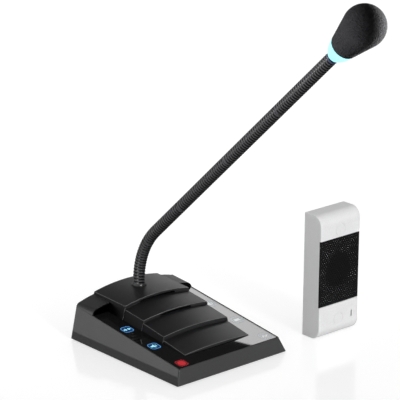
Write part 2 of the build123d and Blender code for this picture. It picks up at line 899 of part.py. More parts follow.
with BuildPart() as power_jack:
    power_height_middle = socket_floor + power_height / 2
    with BuildSketch(at_depth(socket_rear)):
        with Locations((power_x, power_height_middle)):
            Rectangle(power_width, power_height)
    extrude(amount=socket_depth)
    with BuildSketch(at_depth(socket_rear)):
        with Locations((power_x, power_height_middle)):
            Circle(power_bore)
            Circle(power_pin, mode=Mode.SUBTRACT)
    extrude(amount=power_bore_depth, mode=Mode.SUBTRACT)
power_jack.part.label = "power_jack"
export_step(power_jack.part, "parts/power_jack.step")

with BuildPart() as line_socket:
    line_height_middle = socket_floor + line_height / 2
    with BuildSketch(at_depth(socket_rear)):
        with Locations((line_x, line_height_middle)):
            Rectangle(line_width, line_height)
    extrude(amount=socket_depth)
    with BuildSketch(at_depth(socket_rear)):
        with Locations((line_x, line_height_middle)):
            Rectangle(line_mouth_width, line_mouth_height)
        with Locations((line_x, line_height_middle - line_mouth_height / 2)):
            Rectangle(line_latch_width, 2 * line_latch_depth)
    extrude(amount=line_mouth_depth, mode=Mode.SUBTRACT)
line_socket.part.label = "line_socket"
export_step(line_socket.part, "parts/line_socket.step")

# =============================== gooseneck ===============================

neck_bend = neck_bend_radius * lean
neck_length = neck_rise + neck_bend + neck_straight
neck_joint_pitch = (neck_length - neck_first_joint - neck_last_length) / (neck_joints - 1)


def neck_at(s):
    """Depth, height and lean of the gooseneck's centre line, s along it from the cover."""
    turn = min(max(s - neck_rise, 0), neck_bend) / neck_bend_radius
    past = max(s - neck_rise - neck_bend, 0)
    y = neck_y - neck_bend_radius * (1 - cos(turn)) - past * sin(lean)
    z = neck_base + min(s, neck_rise) + neck_bend_radius * sin(turn) + past * cos(lean)
    return y, z, turn


def neck_plane(s):
    """Plane square to the gooseneck at length s."""
    y, z, turn = neck_at(s)
    return Plane(origin=(0, y, z), x_dir=(1, 0, 0), z_dir=(0, -sin(turn), cos(turn)))


with BuildPart() as gooseneck_collar:
    bottom = neck_base - neck_root - seat_gap
    with BuildSketch(Plane.XZ.offset(-neck_y)):
        with BuildLine():
            Polyline(
                (neck_bore, bottom - collar_flange),
                (collar_radius, bottom - collar_flange),
                (collar_radius, neck_base - collar_seat),
                (collar_flange_radius, neck_base - collar_seat),
                (collar_flange_radius, neck_base - collar_seat + collar_flange),
                (collar_radius + case_edge / 2, neck_base - collar_seat + collar_flange),
                (collar_radius, neck_base + collar_height),
                (neck_radius + screw_gap, neck_base + collar_height),
                (neck_radius + screw_gap, bottom),
                (neck_bore, bottom),
                close=True,
            )
        make_face()
    revolve(axis=Axis((0, neck_y, 0), (0, 0, 1)))
gooseneck_collar.part.label = "gooseneck_collar"
export_step(gooseneck_collar.part, "parts/gooseneck_collar.step")

with BuildPart() as gooseneck_nut:
    with BuildSketch(Plane.XY.offset(neck_base - neck_pad_drop)):
        with Locations((0, neck_y)):
            RegularPolygon(nut_across_flats / 2, 6, major_radius=False)
            Circle(collar_radius + screw_gap, mode=Mode.SUBTRACT)
    extrude(amount=-nut_height)
gooseneck_nut.part.label = "gooseneck_nut"
export_step(gooseneck_nut.part, "parts/gooseneck_nut.step")

# Each joint is a ball end in a socket of the next section, both about one point of the centre line.
joint_places = [neck_first_joint + step * neck_joint_pitch for step in range(neck_joints)]
section_ends = [-neck_root, *joint_places, neck_length]
for number, (start, end) in enumerate(zip(section_ends, section_ends[1:])):
    name = f"gooseneck_section_{number}"
    bends = [s for s in (neck_rise, neck_rise + neck_bend) if start < s < end]
    stations = [start, *bends, end]
    with BuildPart() as section:
        with BuildLine(Plane.YZ) as run:
            for a, b in zip(stations, stations[1:]):
                points = [neck_at(s)[:2] for s in (a, (a + b) / 2, b)]
                if neck_at(a)[2] == neck_at(b)[2]:
                    Line(points[0], points[2])
                else:
                    ThreePointArc(*points)
        with BuildSketch(neck_plane(start)):
            Circle(neck_radius)
            Circle(neck_bore, mode=Mode.SUBTRACT)
        sweep(path=run.wires()[0])
        if number < neck_joints:
            with Locations(neck_plane(end)):
                Sphere(neck_radius, arc_size1=0)
                Cylinder(
                    neck_bore,
                    2 * neck_radius,
                    align=(Align.CENTER, Align.CENTER, Align.MIN),
                    mode=Mode.SUBTRACT,
                )
        if number > 0:
            with Locations(neck_plane(start)):
                Sphere(neck_radius + joint_gap, mode=Mode.SUBTRACT)
    section.part.label = name
    export_step(section.part, f"parts/{name}.step")

# =============================== microphone head ===============================

head_y, head_z, _ = neck_at(neck_length)
head_axis = Axis((0, head_y, head_z), (0, -sin(lean), cos(lean)))
head_profile = on_axis((0, head_y, head_z), (0, -sin(lean), cos(lean)))
head_plane = neck_plane(neck_length)
ring_bore = sleeve_radius + seat_gap
ring_pocket_floor = ring_length - ring_pocket_depth

with BuildPart() as light_ring:
    with BuildSketch(head_profile):
        with BuildLine():
            Polyline(
                (ring_large_radius, ring_length - 1),
                (ring_large_radius, ring_length),
                (ring_pocket_radius, ring_length),
                (ring_pocket_radius, ring_pocket_floor),
                (ring_bore, ring_pocket_floor),
                (ring_bore, 0),
                (ring_small_radius, 0),
            )
            ThreePointArc(
                (ring_small_radius, 0),
                (ring_belly_radius, ring_length * 0.45),
                (ring_large_radius, ring_length - 1),
            )
        make_face()
    revolve(axis=head_axis)
light_ring.part.label = "light_ring"
export_step(light_ring.part, "parts/light_ring.step")

with BuildPart() as ring_led_board:
    with BuildSketch(head_plane.offset(ring_pocket_floor + led_height)):
        Circle(ring_pocket_radius - seat_gap)
        Circle(ring_bore, mode=Mode.SUBTRACT)
    extrude(amount=led_board_thickness)
    with BuildSketch(head_plane.offset(ring_pocket_floor + led_height)):
        with PolarLocations((ring_bore + ring_pocket_radius) / 2, led_count):
            Rectangle(led_width, 2 * led_width)
    extrude(amount=-led_height)
ring_led_board.part.label = "ring_led_board"
export_step(ring_led_board.part, "parts/ring_led_board.step")

with BuildPart() as microphone_sleeve:
    with BuildSketch(head_profile):
        with BuildLine():
            Polyline(
                (sleeve_wire_bore, -sleeve_spigot),
                (neck_bore - screw_gap, -sleeve_spigot),
                (neck_bore - screw_gap, 0),
                (sleeve_radius, 0),
                (sleeve_radius, sleeve_length),
                (sleeve_front_bore, sleeve_length),
                (sleeve_front_bore, sleeve_length - sleeve_front_depth),
                (sleeve_wire_bore, sleeve_length - sleeve_front_depth),
                close=True,
            )
        make_face()
    revolve(axis=head_axis)
microphone_sleeve.part.label = "microphone_sleeve"
export_step(microphone_sleeve.part, "parts/microphone_sleeve.step")

capsule_foot = sleeve_length - sleeve_front_depth + capsule_floor
with BuildPart() as capsule_holder:
    with BuildSketch(head_plane.offset(sleeve_length - sleeve_front_depth)):
        Circle(sleeve_front_bore)
    extrude(amount=capsule_floor + capsule_length)
    with BuildSketch(head_plane.offset(capsule_foot)):
        Circle(capsule_radius)
    extrude(amount=capsule_length, mode=Mode.SUBTRACT)
    with BuildSketch(head_plane.offset(sleeve_length - sleeve_front_depth)):
        Circle(sleeve_wire_bore)
    extrude(amount=capsule_floor, mode=Mode.SUBTRACT)
capsule_holder.part.label = "capsule_holder"
export_step(capsule_holder.part, "parts/capsule_holder.step")

with BuildPart() as microphone_capsule:
    with BuildSketch(head_plane.offset(capsule_foot)):
        Circle(capsule_radius)
    extrude(amount=capsule_length)
    with BuildSketch(head_plane.offset(capsule_foot + capsule_length)):
        Circle(capsule_port)
    extrude(amount=-capsule_length / 5, mode=Mode.SUBTRACT)
microphone_capsule.part.label = "microphone_capsule"
export_step(microphone_capsule.part, "parts/microphone_capsule.step")

with BuildPart() as foam_windscreen:
    foam_foot = ring_length + foam_gap
    foam_bore = sleeve_radius + foam_gap
    bore_end = sleeve_length + foam_gap
    # the cone meets the round end where a line from its foot touches the circle
    reach_x = foam_foot_radius
    reach_y = foam_foot + foam_foot_edge - foam_centre
    touch = atan2(reach_y, reach_x) + acos(foam_radius / sqrt(reach_x**2 + reach_y**2))
    with BuildSketch(head_profile):
        with BuildLine():
            Polyline(
                (0, foam_centre + foam_radius),
                (0, bore_end),
                (foam_bore, bore_end),
                (foam_bore, foam_foot),
                (foam_foot_radius - foam_foot_edge, foam_foot),
            )
            ThreePointArc(
                (foam_foot_radius - foam_foot_edge, foam_foot),
                (
                    foam_foot_radius - foam_foot_edge * (1 - sqrt(0.5)),
                    foam_foot + foam_foot_edge * (1 - sqrt(0.5)),
                ),
                (foam_foot_radius, foam_foot + foam_foot_edge),
            )
            Line(
                (foam_foot_radius, foam_foot + foam_foot_edge),
                (foam_radius * cos(touch), foam_centre + foam_radius * sin(touch)),
            )
            ThreePointArc(
                (foam_radius * cos(touch), foam_centre + foam_radius * sin(touch)),
                (foam_radius * cos(radians(45)), foam_centre + foam_radius * sin(radians(45))),
                (0, foam_centre + foam_radius),
            )
        make_face()
    revolve(axis=head_axis)
foam_windscreen.part.label = "foam_windscreen"
export_step(foam_windscreen.part, "parts/foam_windscreen.step")

# =============================== customer panel ===============================

panel_rear = panel_front + panel_depth
panel_inner_front = panel_front + panel_front_wall
back_plate_front = panel_rear - back_plate_thickness


def panel_block(side, end, front):
    """Solid of the panel's outline, moved in by a side wall, an end wall and a front wall."""
    with BuildPart() as form:
        with BuildSketch(Plane.YZ.offset(panel_x - panel_width / 2 + side)) as outline:
            with Locations((panel_front + front, end)):
                Rectangle(panel_depth - front, panel_height - 2 * end, align=(Align.MIN, Align.MIN))
            fillet(outline.vertices().sort_by(Axis.X)[:2], panel_round - front)
        extrude(amount=panel_width - 2 * side)
    return form.part


def panel_pillars(radius, spots):
    """Round pillars from the panel's front wall back to its back plate."""
    with BuildPart() as form:
        with BuildSketch(at_depth(panel_inner_front)):
            with Locations(*spots):
                Circle(radius)
        extrude(amount=panel_inner_front - back_plate_front)
    return form.part


panel_board_width = panel_width - 2 * panel_board_side_gap
post_x = panel_width / 2 - panel_post_side
standoff_x = panel_board_width / 2 - panel_board_screw_side
wall_screw_spots = [(panel_x, height) for height in (plug_inset, panel_height - plug_inset)]
post_spots = [
    (panel_x + x, z)
    for x in (-post_x, post_x)
    for z in (panel_post_inset, panel_height - panel_post_inset)
]
standoff_spots = [
    (panel_x + x, panel_board_bottom + panel_board_screw_rise) for x in (-standoff_x, standoff_x)
]
microphone_spot = (panel_x + panel_width / 2 - mic_inset, mic_z)
grille_top = panel_height - grille_top_gap
grille_middle = (grille_bottom + grille_top) / 2
inlet_height = panel_height - inlet_drop

with BuildPart() as panel_housing:
    add(panel_block(0, 0, 0))
    ends = panel_housing.faces().filter_by(Axis.X).edges()
    fillet(ends.filter_by(lambda e: e.center().Y < panel_rear - panel_edge / 2), panel_edge)
    add(panel_block(panel_side_wall, panel_end_wall, panel_front_wall), mode=Mode.SUBTRACT)
    add(panel_pillars(panel_boss_radius, wall_screw_spots))
    add(panel_pillars(panel_post_radius, post_spots))
    with BuildSketch(at_depth(panel_inner_front)):
        with Locations(*standoff_spots):
            Circle(panel_post_radius)
    extrude(amount=-panel_board_depth)
    with BuildSketch(at_depth(panel_inner_front)):
        with Locations(microphone_spot):
            Circle(boot_radius + seat_gap + boot_collar)
            Circle(boot_radius + seat_gap, mode=Mode.SUBTRACT)
    extrude(amount=-boot_collar_depth)
    # pocket and sound window for the grille
    with BuildSketch(at_depth(panel_front)):
        with Locations((panel_x, grille_middle)):
            Rectangle(panel_width, grille_top - grille_bottom)
    extrude(amount=-grille_pocket, mode=Mode.SUBTRACT)
    with BuildSketch(at_depth(panel_front)):
        with Locations((panel_x, grille_middle)):
            Circle(panel_mouth)
    extrude(amount=-panel_front_wall, mode=Mode.SUBTRACT)
    # plug seats, screw wells and bores, microphone slot
    for radius, depth in (
        (plug_radius + seat_gap, plug_thickness),
        (wall_screw_head, wall_screw_well),
        (wall_screw_radius, panel_depth),
    ):
        with BuildSketch(at_depth(panel_front)):
            with Locations(*wall_screw_spots):
                Circle(radius)
        extrude(amount=-depth, mode=Mode.SUBTRACT)
    with BuildSketch(at_depth(panel_front)):
        with Locations(microphone_spot):
            SlotOverall(mic_slot_height, mic_slot_width, rotation=90)
    extrude(amount=-panel_front_wall, mode=Mode.SUBTRACT)
    with BuildSketch(at_depth(back_plate_front)):
        with Locations(*post_spots):
            Circle(small_screw_radius + screw_gap)
    extrude(amount=back_screw_length - back_plate_thickness, mode=Mode.SUBTRACT)
    with BuildSketch(at_depth(panel_inner_front + panel_board_depth)):
        with Locations(*standoff_spots):
            Circle(small_screw_radius + screw_gap)
    extrude(amount=rear_board_screw_length, mode=Mode.SUBTRACT)
panel_housing.part.label = "panel_housing"
export_step(panel_housing.part, "parts/panel_housing.step")

with BuildPart() as panel_grille:
    with BuildSketch(at_depth(panel_front + grille_pocket)):
        with Locations((panel_x, grille_middle)):
            Rectangle(panel_width - seat_gap, grille_top - grille_bottom - 2 * seat_gap)
    extrude(amount=grille_thickness)
panel_grille.part.label = "panel_grille"
export_step(panel_grille.part, "parts/panel_grille.step")

with BuildPart() as panel_back_plate:
    with BuildSketch(at_depth(panel_rear)):
        with Locations((panel_x, panel_height / 2)):
            Rectangle(
                panel_width - 2 * panel_side_wall - 2 * seat_gap,
                panel_height - 2 * panel_end_wall - 2 * seat_gap,
            )
        with Locations(*wall_screw_spots):
            Circle(wall_screw_radius, mode=Mode.SUBTRACT)
        with Locations(*post_spots):
            Circle(small_screw_radius + screw_gap, mode=Mode.SUBTRACT)
        with Locations((panel_x, inlet_height)):
            Circle(grommet_radius + seat_gap, mode=Mode.SUBTRACT)
    extrude(amount=back_plate_thickness)
    with BuildSketch(at_depth(panel_rear)):
        with Locations(*post_spots):
            Circle(small_screw_head_radius + screw_gap)
    extrude(amount=small_screw_head + screw_gap, mode=Mode.SUBTRACT)
panel_back_plate.part.label = "panel_back_plate"
export_step(panel_back_plate.part, "parts/panel_back_plate.step")

with BuildPart() as panel_back_screws:
    add(
        screws(
            at_depth(panel_rear - small_screw_head - screw_gap),
            post_spots,
            back_screw_length - small_screw_head - screw_gap - seat_gap,
            small_screw_radius,
            small_screw_head_radius,
            small_screw_head,
        )
    )
panel_back_screws.part.label = "panel_back_screws"
export_step(panel_back_screws.part, "parts/panel_back_screws.step")

with BuildPart() as panel_screw_plugs:
    with BuildSketch(at_depth(panel_front)):
        with Locations(*wall_screw_spots):
            Circle(plug_radius)
    extrude(amount=-plug_thickness)
panel_screw_plugs.part.label = "panel_screw_plugs"
export_step(panel_screw_plugs.part, "parts/panel_screw_plugs.step")

panel_speaker_seat = (panel_x, panel_inner_front, grille_middle)
panel_speaker_axis = Axis(panel_speaker_seat, (0, 1, 0))
panel_speaker_profile = Plane(origin=panel_speaker_seat, x_dir=(1, 0, 0), z_dir=(0, 0, 1))

with BuildPart() as panel_speaker_frame:
    with BuildSketch(panel_speaker_profile):
        with BuildLine():
            Polyline(
                (panel_mouth, 0),
                (panel_speaker_radius, 0),
                (panel_speaker_radius, speaker_flange),
                (panel_mouth + speaker_flange, speaker_flange),
                (panel_basket_radius, panel_speaker_depth - speaker_flange),
                (panel_basket_radius, panel_speaker_depth),
                (0, panel_speaker_depth),
                (0, panel_speaker_depth - speaker_flange),
                (panel_basket_radius - speaker_flange, panel_speaker_depth - speaker_flange),
                (panel_mouth - speaker_flange, speaker_flange),
                (panel_mouth, speaker_flange),
                close=True,
            )
        make_face()
    revolve(axis=panel_speaker_axis)
panel_speaker_frame.part.label = "panel_speaker_frame"
export_step(panel_speaker_frame.part, "parts/panel_speaker_frame.step")

with BuildPart() as panel_speaker_cone:
    with BuildSketch(panel_speaker_profile):
        panel_rim = panel_mouth - seat_gap
        with BuildLine():
            Polyline(
                (panel_rim, 0),
                (panel_rim, speaker_flange - cone_wall / 2),
                (panel_rim - cone_wall, speaker_flange - cone_wall / 2),
                (panel_cap_radius, panel_cone_depth),
                (0, panel_cone_depth - cap_rise),
                (0, panel_cone_depth - cap_rise - cone_wall),
                (panel_cap_radius, panel_cone_depth - cone_wall),
                (panel_rim - cone_wall, 0),
                close=True,
            )
        make_face()
    revolve(axis=panel_speaker_axis)
panel_speaker_cone.part.label = "panel_speaker_cone"
export_step(panel_speaker_cone.part, "parts/panel_speaker_cone.step")

with BuildPart() as panel_speaker_magnet:
    with BuildSketch(at_depth(panel_inner_front + panel_speaker_depth)):
        with Locations((panel_x, grille_middle)):
            Circle(panel_magnet_radius)
    extrude(amount=-panel_magnet_thickness)
    chamfer(panel_speaker_magnet.edges(), case_edge)
panel_speaker_magnet.part.label = "panel_speaker_magnet"
export_step(panel_speaker_magnet.part, "parts/panel_speaker_magnet.step")

with BuildPart() as panel_circuit_board:
    with BuildSketch(at_depth(panel_inner_front + panel_board_depth)):
        with Locations((panel_x, panel_board_bottom)):
            Rectangle(
                panel_board_width,
                panel_board_top - panel_board_bottom,
                align=(Align.CENTER, Align.MIN),
            )
        with Locations(*standoff_spots):
            Circle(small_screw_radius + screw_gap, mode=Mode.SUBTRACT)
    extrude(amount=-board_thickness)
panel_circuit_board.part.label = "panel_circuit_board"
export_step(panel_circuit_board.part, "parts/panel_circuit_board.step")

panel_board_rear = panel_inner_front + panel_board_depth + board_thickness

with BuildPart() as panel_board_screws:
    add(
        screws(
            at_depth(panel_board_rear),
            standoff_spots,
            rear_board_screw_length,
            small_screw_radius,
            small_screw_head_radius,
            small_screw_head,
        )
    )
panel_board_screws.part.label = "panel_board_screws"
export_step(panel_board_screws.part, "parts/panel_board_screws.step")

with BuildPart() as panel_terminal_block:
    with BuildSketch(at_depth(panel_board_rear)):
        with Locations((panel_x, panel_board_top)):
            Rectangle(terminal_width, terminal_height, align=(Align.CENTER, Align.MAX))
    extrude(amount=-terminal_depth)
    with BuildSketch(Plane.XY.offset(panel_board_top)):
        with Locations((panel_x, panel_board_rear + terminal_depth / 2)):
            with GridLocations(terminal_width / terminal_count, 1, terminal_count, 1):
                Circle(terminal_bore)
    extrude(amount=-terminal_height / 2, mode=Mode.SUBTRACT)
panel_terminal_block.part.label = "panel_terminal_block"
export_step(panel_terminal_block.part, "parts/panel_terminal_block.step")

with BuildPart() as panel_microphone_boot:
    with BuildSketch(at_depth(panel_inner_front)):
        with Locations(microphone_spot):
            Circle(boot_radius)
            SlotOverall(mic_slot_height, mic_slot_width, rotation=90, mode=Mode.SUBTRACT)
    extrude(amount=capsule_length - boot_length)
    with BuildSketch(at_depth(panel_inner_front + boot_length - capsule_length)):
        with Locations(microphone_spot):
            Circle(boot_radius)
            Circle(capsule_radius, mode=Mode.SUBTRACT)
    extrude(amount=-capsule_length)
panel_microphone_boot.part.label = "panel_microphone_boot"
export_step(panel_microphone_boot.part, "parts/panel_microphone_boot.step")

with BuildPart() as panel_microphone:
    with BuildSketch(at_depth(panel_inner_front + boot_length - capsule_length)):
        with Locations(microphone_spot):
            Circle(capsule_radius)
    extrude(amount=-capsule_length)
    with BuildSketch(at_depth(panel_inner_front + boot_length - capsule_length)):
        with Locations(microphone_spot):
            Circle(capsule_port)
    extrude(amount=-capsule_length / 5, mode=Mode.SUBTRACT)
panel_microphone.part.label = "panel_microphone"
export_step(panel_microphone.part, "parts/panel_microphone.step")

with BuildPart() as panel_cable_grommet:
    for radius, start, length in (
        (grommet_radius, panel_rear, back_plate_thickness),
        (grommet_flange, back_plate_front, grommet_flange_thickness),
    ):
        with BuildSketch(at_depth(start)):
            with Locations((panel_x, inlet_height)):
                Circle(radius)
                Circle(inlet_radius, mode=Mode.SUBTRACT)
        extrude(amount=length)
panel_cable_grommet.part.label = "panel_cable_grommet"
export_step(panel_cable_grommet.part, "parts/panel_cable_grommet.step")
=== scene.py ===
"""Finishes, light and fine detail of the teller window intercom."""

import json
from math import acos, asin, atan2, ceil, cos, dist, hypot, pi, radians, sin, tan

import bmesh
import bpy
from mathutils import Matrix, Vector, noise


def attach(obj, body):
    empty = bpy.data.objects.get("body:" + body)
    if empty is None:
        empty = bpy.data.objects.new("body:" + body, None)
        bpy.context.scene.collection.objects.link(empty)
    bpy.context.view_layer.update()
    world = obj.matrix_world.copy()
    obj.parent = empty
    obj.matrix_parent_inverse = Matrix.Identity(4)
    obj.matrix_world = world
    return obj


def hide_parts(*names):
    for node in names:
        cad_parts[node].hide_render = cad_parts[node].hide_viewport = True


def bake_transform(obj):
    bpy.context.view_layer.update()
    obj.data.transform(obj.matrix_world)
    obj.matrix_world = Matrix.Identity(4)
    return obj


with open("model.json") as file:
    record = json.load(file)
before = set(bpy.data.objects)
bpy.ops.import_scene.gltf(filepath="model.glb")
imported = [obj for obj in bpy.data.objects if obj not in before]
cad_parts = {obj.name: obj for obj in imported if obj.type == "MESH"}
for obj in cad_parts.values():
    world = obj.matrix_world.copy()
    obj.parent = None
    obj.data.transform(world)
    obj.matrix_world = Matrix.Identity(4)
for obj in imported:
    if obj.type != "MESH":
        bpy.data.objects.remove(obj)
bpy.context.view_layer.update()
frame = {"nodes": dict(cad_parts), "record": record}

MM = 0.001

# ---- sizes shared with the frame, in millimetres ----
foot_height = 1.0
front_height = 13.1
plate_front = -62.6
plate_slope = radians(6.85)
plate_level = front_height - plate_front * tan(plate_slope)  # plate's height at the origin
key_spread = 44.0
key_rows = {"front": -55.4, "middle": -22.2, "rear": 11.0}
neck_y = 48.9
neck_base = 39.0
neck_root = 9.0
neck_rise = 3.4
neck_bend_radius = 65.5
neck_lean = radians(46.65)
neck_straight = 274.0
neck_first_joint = 24.0
neck_last_length = 42.0
neck_joints = 8
neck_joint_limit = radians(15)
neck_radius = 4.9
foam_foot, foam_bore_end, foam_centre = 12.0, 37.3, 40.9  # heights above the neck's end
foam_radius, foam_foot_radius, foam_foot_edge, foam_bore = 16.4, 10.8, 1.8, 4.9
panel_x = 115.6
panel_front = -66.2
panel_rear = -47.0
panel_width = 43.8
panel_height = 105.6
grille_bottom = 28.2
grille_top = 85.0
grille_pocket = 1.5
grille_thickness = 1.0

plate_up = Vector((0, -sin(plate_slope), cos(plate_slope)))
plate_along = Vector((0, cos(plate_slope), sin(plate_slope)))
key_sides = {"left": -key_spread, "right": key_spread}
key_places = {(row, side): (x, y) for row, y in key_rows.items() for side, x in key_sides.items()}
neck_bend = neck_bend_radius * neck_lean
neck_length = neck_rise + neck_bend + neck_straight
neck_pitch = (neck_length - neck_first_joint - neck_last_length) / (neck_joints - 1)
white = (1, 1, 1, 1)


def turned(x_axis, y_axis, z_axis):
    """The turn that puts an object's axes along the given ones."""
    return Matrix((x_axis, y_axis, z_axis)).transposed().to_4x4()


def neck_at(s):
    """Depth, height and lean of the gooseneck's centre line, s along it from the cover."""
    turn = min(max(s - neck_rise, 0), neck_bend) / neck_bend_radius
    past = max(s - neck_rise - neck_bend, 0)
    y = neck_y - neck_bend_radius * (1 - cos(turn)) - past * sin(neck_lean)
    z = neck_base + min(s, neck_rise) + neck_bend_radius * sin(turn) + past * cos(neck_lean)
    return y, z, turn


def neck_point(s):
    """A point of the gooseneck's centre line, in metres."""
    y, z, _ = neck_at(s)
    return Vector((0, y, z)) * MM


def plate_matrix(x, y, lift):
    """Place on the sloping key plate: its X is across, its Y runs up the slope."""
    level = plate_level + y * tan(plate_slope)
    origin = (Vector((x, y, level)) + plate_up * lift) * MM
    return Matrix.Translation(origin) @ turned(Vector((1, 0, 0)), plate_along, plate_up)


# ---- helpers for objects and nodes ----


def new_object(name, data):
    """An object with the given data, in the scene."""
    piece = bpy.data.objects.new(name, data)
    bpy.context.scene.collection.objects.link(piece)
    return piece


def evaluated_mesh(source):
    """A plain mesh of what an object's modifiers and curve settings make of it; the object goes."""
    bpy.context.view_layer.update()
    graph = bpy.context.evaluated_depsgraph_get()
    mesh = bpy.data.meshes.new_from_object(source.evaluated_get(graph))
    source.modifiers.clear()
    bpy.data.objects.remove(source)
    return mesh


def add_node(tree, kind, feeds=None, **settings):
    """A node of a tree, its settings set first and its inputs then fed from sockets or with values."""
    node = tree.nodes.new(kind)
    for label, value in settings.items():
        setattr(node, label, value)
    for label, value in (feeds or {}).items():
        for item in value if isinstance(value, list) else [value]:
            if isinstance(item, bpy.types.NodeSocket):
                tree.links.new(item, node.inputs[label])
            else:
                node.inputs[label].default_value = item
    return node


def result(tree, kind, feeds=None, **settings):
    """A node's result, which is its first output socket."""
    return add_node(tree, kind, feeds, **settings).outputs[0]


def math_node(tree, operation, *values):
    """The result of a math node fed with sockets or numbers."""
    return result(tree, "ShaderNodeMath", dict(enumerate(values)), operation=operation)


def vector_node(tree, operation, feeds):
    """The result of a vector math node."""
    return result(tree, "ShaderNodeVectorMath", feeds, operation=operation)


def object_place(tree):
    """Where a point is on the object, in metres."""
    return tree.nodes.new("ShaderNodeTexCoord").outputs["Object"]


def ramp(tree, value, stops):
    """A colour ramp of greys or colours over a value; gives its colour's socket."""
    node = add_node(tree, "ShaderNodeValToRGB", {"Fac": value})
    elements = node.color_ramp.elements
    while len(elements) > 1:
        elements.remove(elements[-1])
    for number, (place, colour) in enumerate(stops):
        element = elements[0] if number == 0 else elements.new(place)
        element.position = place
        element.color = (*colour, 1) if isinstance(colour, tuple) else (colour, colour, colour, 1)
    return node.outputs["Color"]


def mix_colours(tree, first, second, share=1.0, blend="MIX"):
    """Two colours mixed, each of them a socket or a plain colour; gives the result's socket."""
    feeds = {"Factor": share, "A": first, "B": second}
    return add_node(tree, "ShaderNodeMix", feeds, data_type="RGBA", blend_type=blend).outputs["Result"]


def split_coordinates(tree, kind):
    """The X, Y and Z sockets of one kind of texture coordinate."""
    place = tree.nodes.new("ShaderNodeTexCoord").outputs[kind]
    return add_node(tree, "ShaderNodeSeparateXYZ", {0: place}).outputs


def tree_and_surface(material):
    """A material's node tree and its Principled shader."""
    return material.node_tree, material.node_tree.nodes["Principled BSDF"]


# ---- camera, light and floor ----


def make_camera():
    """The camera, placed along its own axes from the middle of the case's underside; gives its place."""
    turn, rise, roll = radians(-41.3992935), radians(18.6151614), radians(-0.470441976)
    aside, above, distance = 16.9146997, 116.762485, 1995.20475
    focal_length, image_width = 2472.24299, 400  # in pixels
    sensor_width = 36.0
    back = Vector((sin(turn) * cos(rise), -cos(turn) * cos(rise), sin(rise)))
    right = Vector((cos(turn), sin(turn), 0))
    up = back.cross(right)
    underside = Vector((0, 0, foot_height)) * MM
    place = (right * aside + up * above + back * distance) * MM + underside
    data = bpy.data.cameras.new("camera")
    data.sensor_width = sensor_width
    data.lens = focal_length * sensor_width / image_width
    data.clip_start, data.clip_end = 0.05, 60.0
    camera = new_object("camera", data)
    x_axis = right * cos(roll) - up * sin(roll)
    y_axis = right * sin(roll) + up * cos(roll)
    camera.matrix_world = Matrix.Translation(place) @ turned(x_axis, y_axis, back)
    bpy.context.scene.camera = camera
    return place


def make_world():
    """White to the eye, duller towards the top for matt surfaces, and banded for what gloss mirrors."""
    world = bpy.data.worlds.new("studio")
    bpy.context.scene.world = world
    world.use_nodes = True
    tree = world.node_tree
    background = tree.nodes["Background"]
    path = tree.nodes.new("ShaderNodeLightPath").outputs
    towards = split_coordinates(tree, "Generated")
    band = ramp(tree, towards["Z"], [(0.36, 0.52), (0.44, 0.02)])
    from_left = math_node(tree, "MULTIPLY_ADD", towards["X"], -0.35, 0.5)
    from_left = math_node(tree, "MULTIPLY_ADD", towards["Y"], 0.35, from_left)
    sweep = ramp(tree, from_left, [(0.03, 0.5), (0.3, 0.35), (0.5, 0.75), (0.95, 2.15)])
    mirrored = math_node(tree, "MULTIPLY", math_node(tree, "MULTIPLY", band, sweep), 2.0)
    mirrored = math_node(tree, "MULTIPLY", mirrored, path["Is Glossy Ray"])
    not_gloss = math_node(tree, "SUBTRACT", 1.0, path["Is Glossy Ray"])
    matt = math_node(tree, "MULTIPLY", not_gloss, ramp(tree, towards["Z"], [(0.1, 0.95), (0.9, 0.3)]))
    lit = math_node(tree, "ADD", mirrored, matt)
    strength = math_node(tree, "MAXIMUM", lit, path["Is Camera Ray"])
    tree.links.new(strength, background.inputs["Strength"])
    background.inputs["Color"].default_value = white


def light_alone(source, receivers):
    """Lets a lamp or a card light the given pieces alone; gives their collection."""
    lit = bpy.data.collections.new(f"{source.name}_receivers")
    for piece in receivers:
        lit.objects.link(piece)
    source.light_linking.receiver_collection = lit
    return lit


def make_lamp(name, place, aim, size, power, cone=None, receivers=None):
    """A soft round lamp, or a soft spot where it has a cone; it may light some pieces alone."""
    data = bpy.data.lights.new(name, "SPOT" if cone else "AREA")
    if cone:
        data.shadow_soft_size = size / 2
        data.spot_size = radians(cone)
        data.spot_blend = 1.0
    else:
        data.shape = "DISK"
        data.size = size
    data.energy = power
    lamp = new_object(name, data)
    facing = (Vector(aim) - Vector(place)).to_track_quat("-Z", "Y")
    lamp.matrix_world = Matrix.Translation(place) @ facing.to_matrix().to_4x4()
    lamp.visible_camera = False
    if receivers:
        light_alone(lamp, receivers)


def make_floor():
    """The pale polished floor: white to the eye, with shadows; gloss mirrors its left side brightest."""
    half, grey, glow = 12.0, 0.60, 0.60
    mesh = bpy.data.meshes.new("floor")
    corners = [(-half, -half, 0), (half, -half, 0), (half, half, 0), (-half, half, 0)]
    mesh.from_pydata(corners, [], [(0, 1, 2, 3)])
    floor = new_object("floor", mesh)
    polish = {"Specular IOR Level": 0.75, "Emission Color": white}
    material = finish("floor_white", (grey, grey, grey), 0.12, values=polish)
    tree, surface = tree_and_surface(material)
    path = tree.nodes.new("ShaderNodeLightPath").outputs
    across = math_node(tree, "MULTIPLY_ADD", split_coordinates(tree, "Object")["X"], 2.5, 0.5)
    pool = ramp(tree, across, [(0.22, 0.8), (0.43, 0.1), (0.75, 0.35)])
    mirrored = math_node(tree, "MULTIPLY", pool, path["Is Glossy Ray"])
    shown = math_node(tree, "MAXIMUM", path["Is Camera Ray"], mirrored)
    shown = math_node(tree, "MAXIMUM", shown, path["Is Transmission Ray"])
    tree.links.new(math_node(tree, "MULTIPLY", shown, glow), surface.inputs["Emission Strength"])
    mesh.materials.append(material)


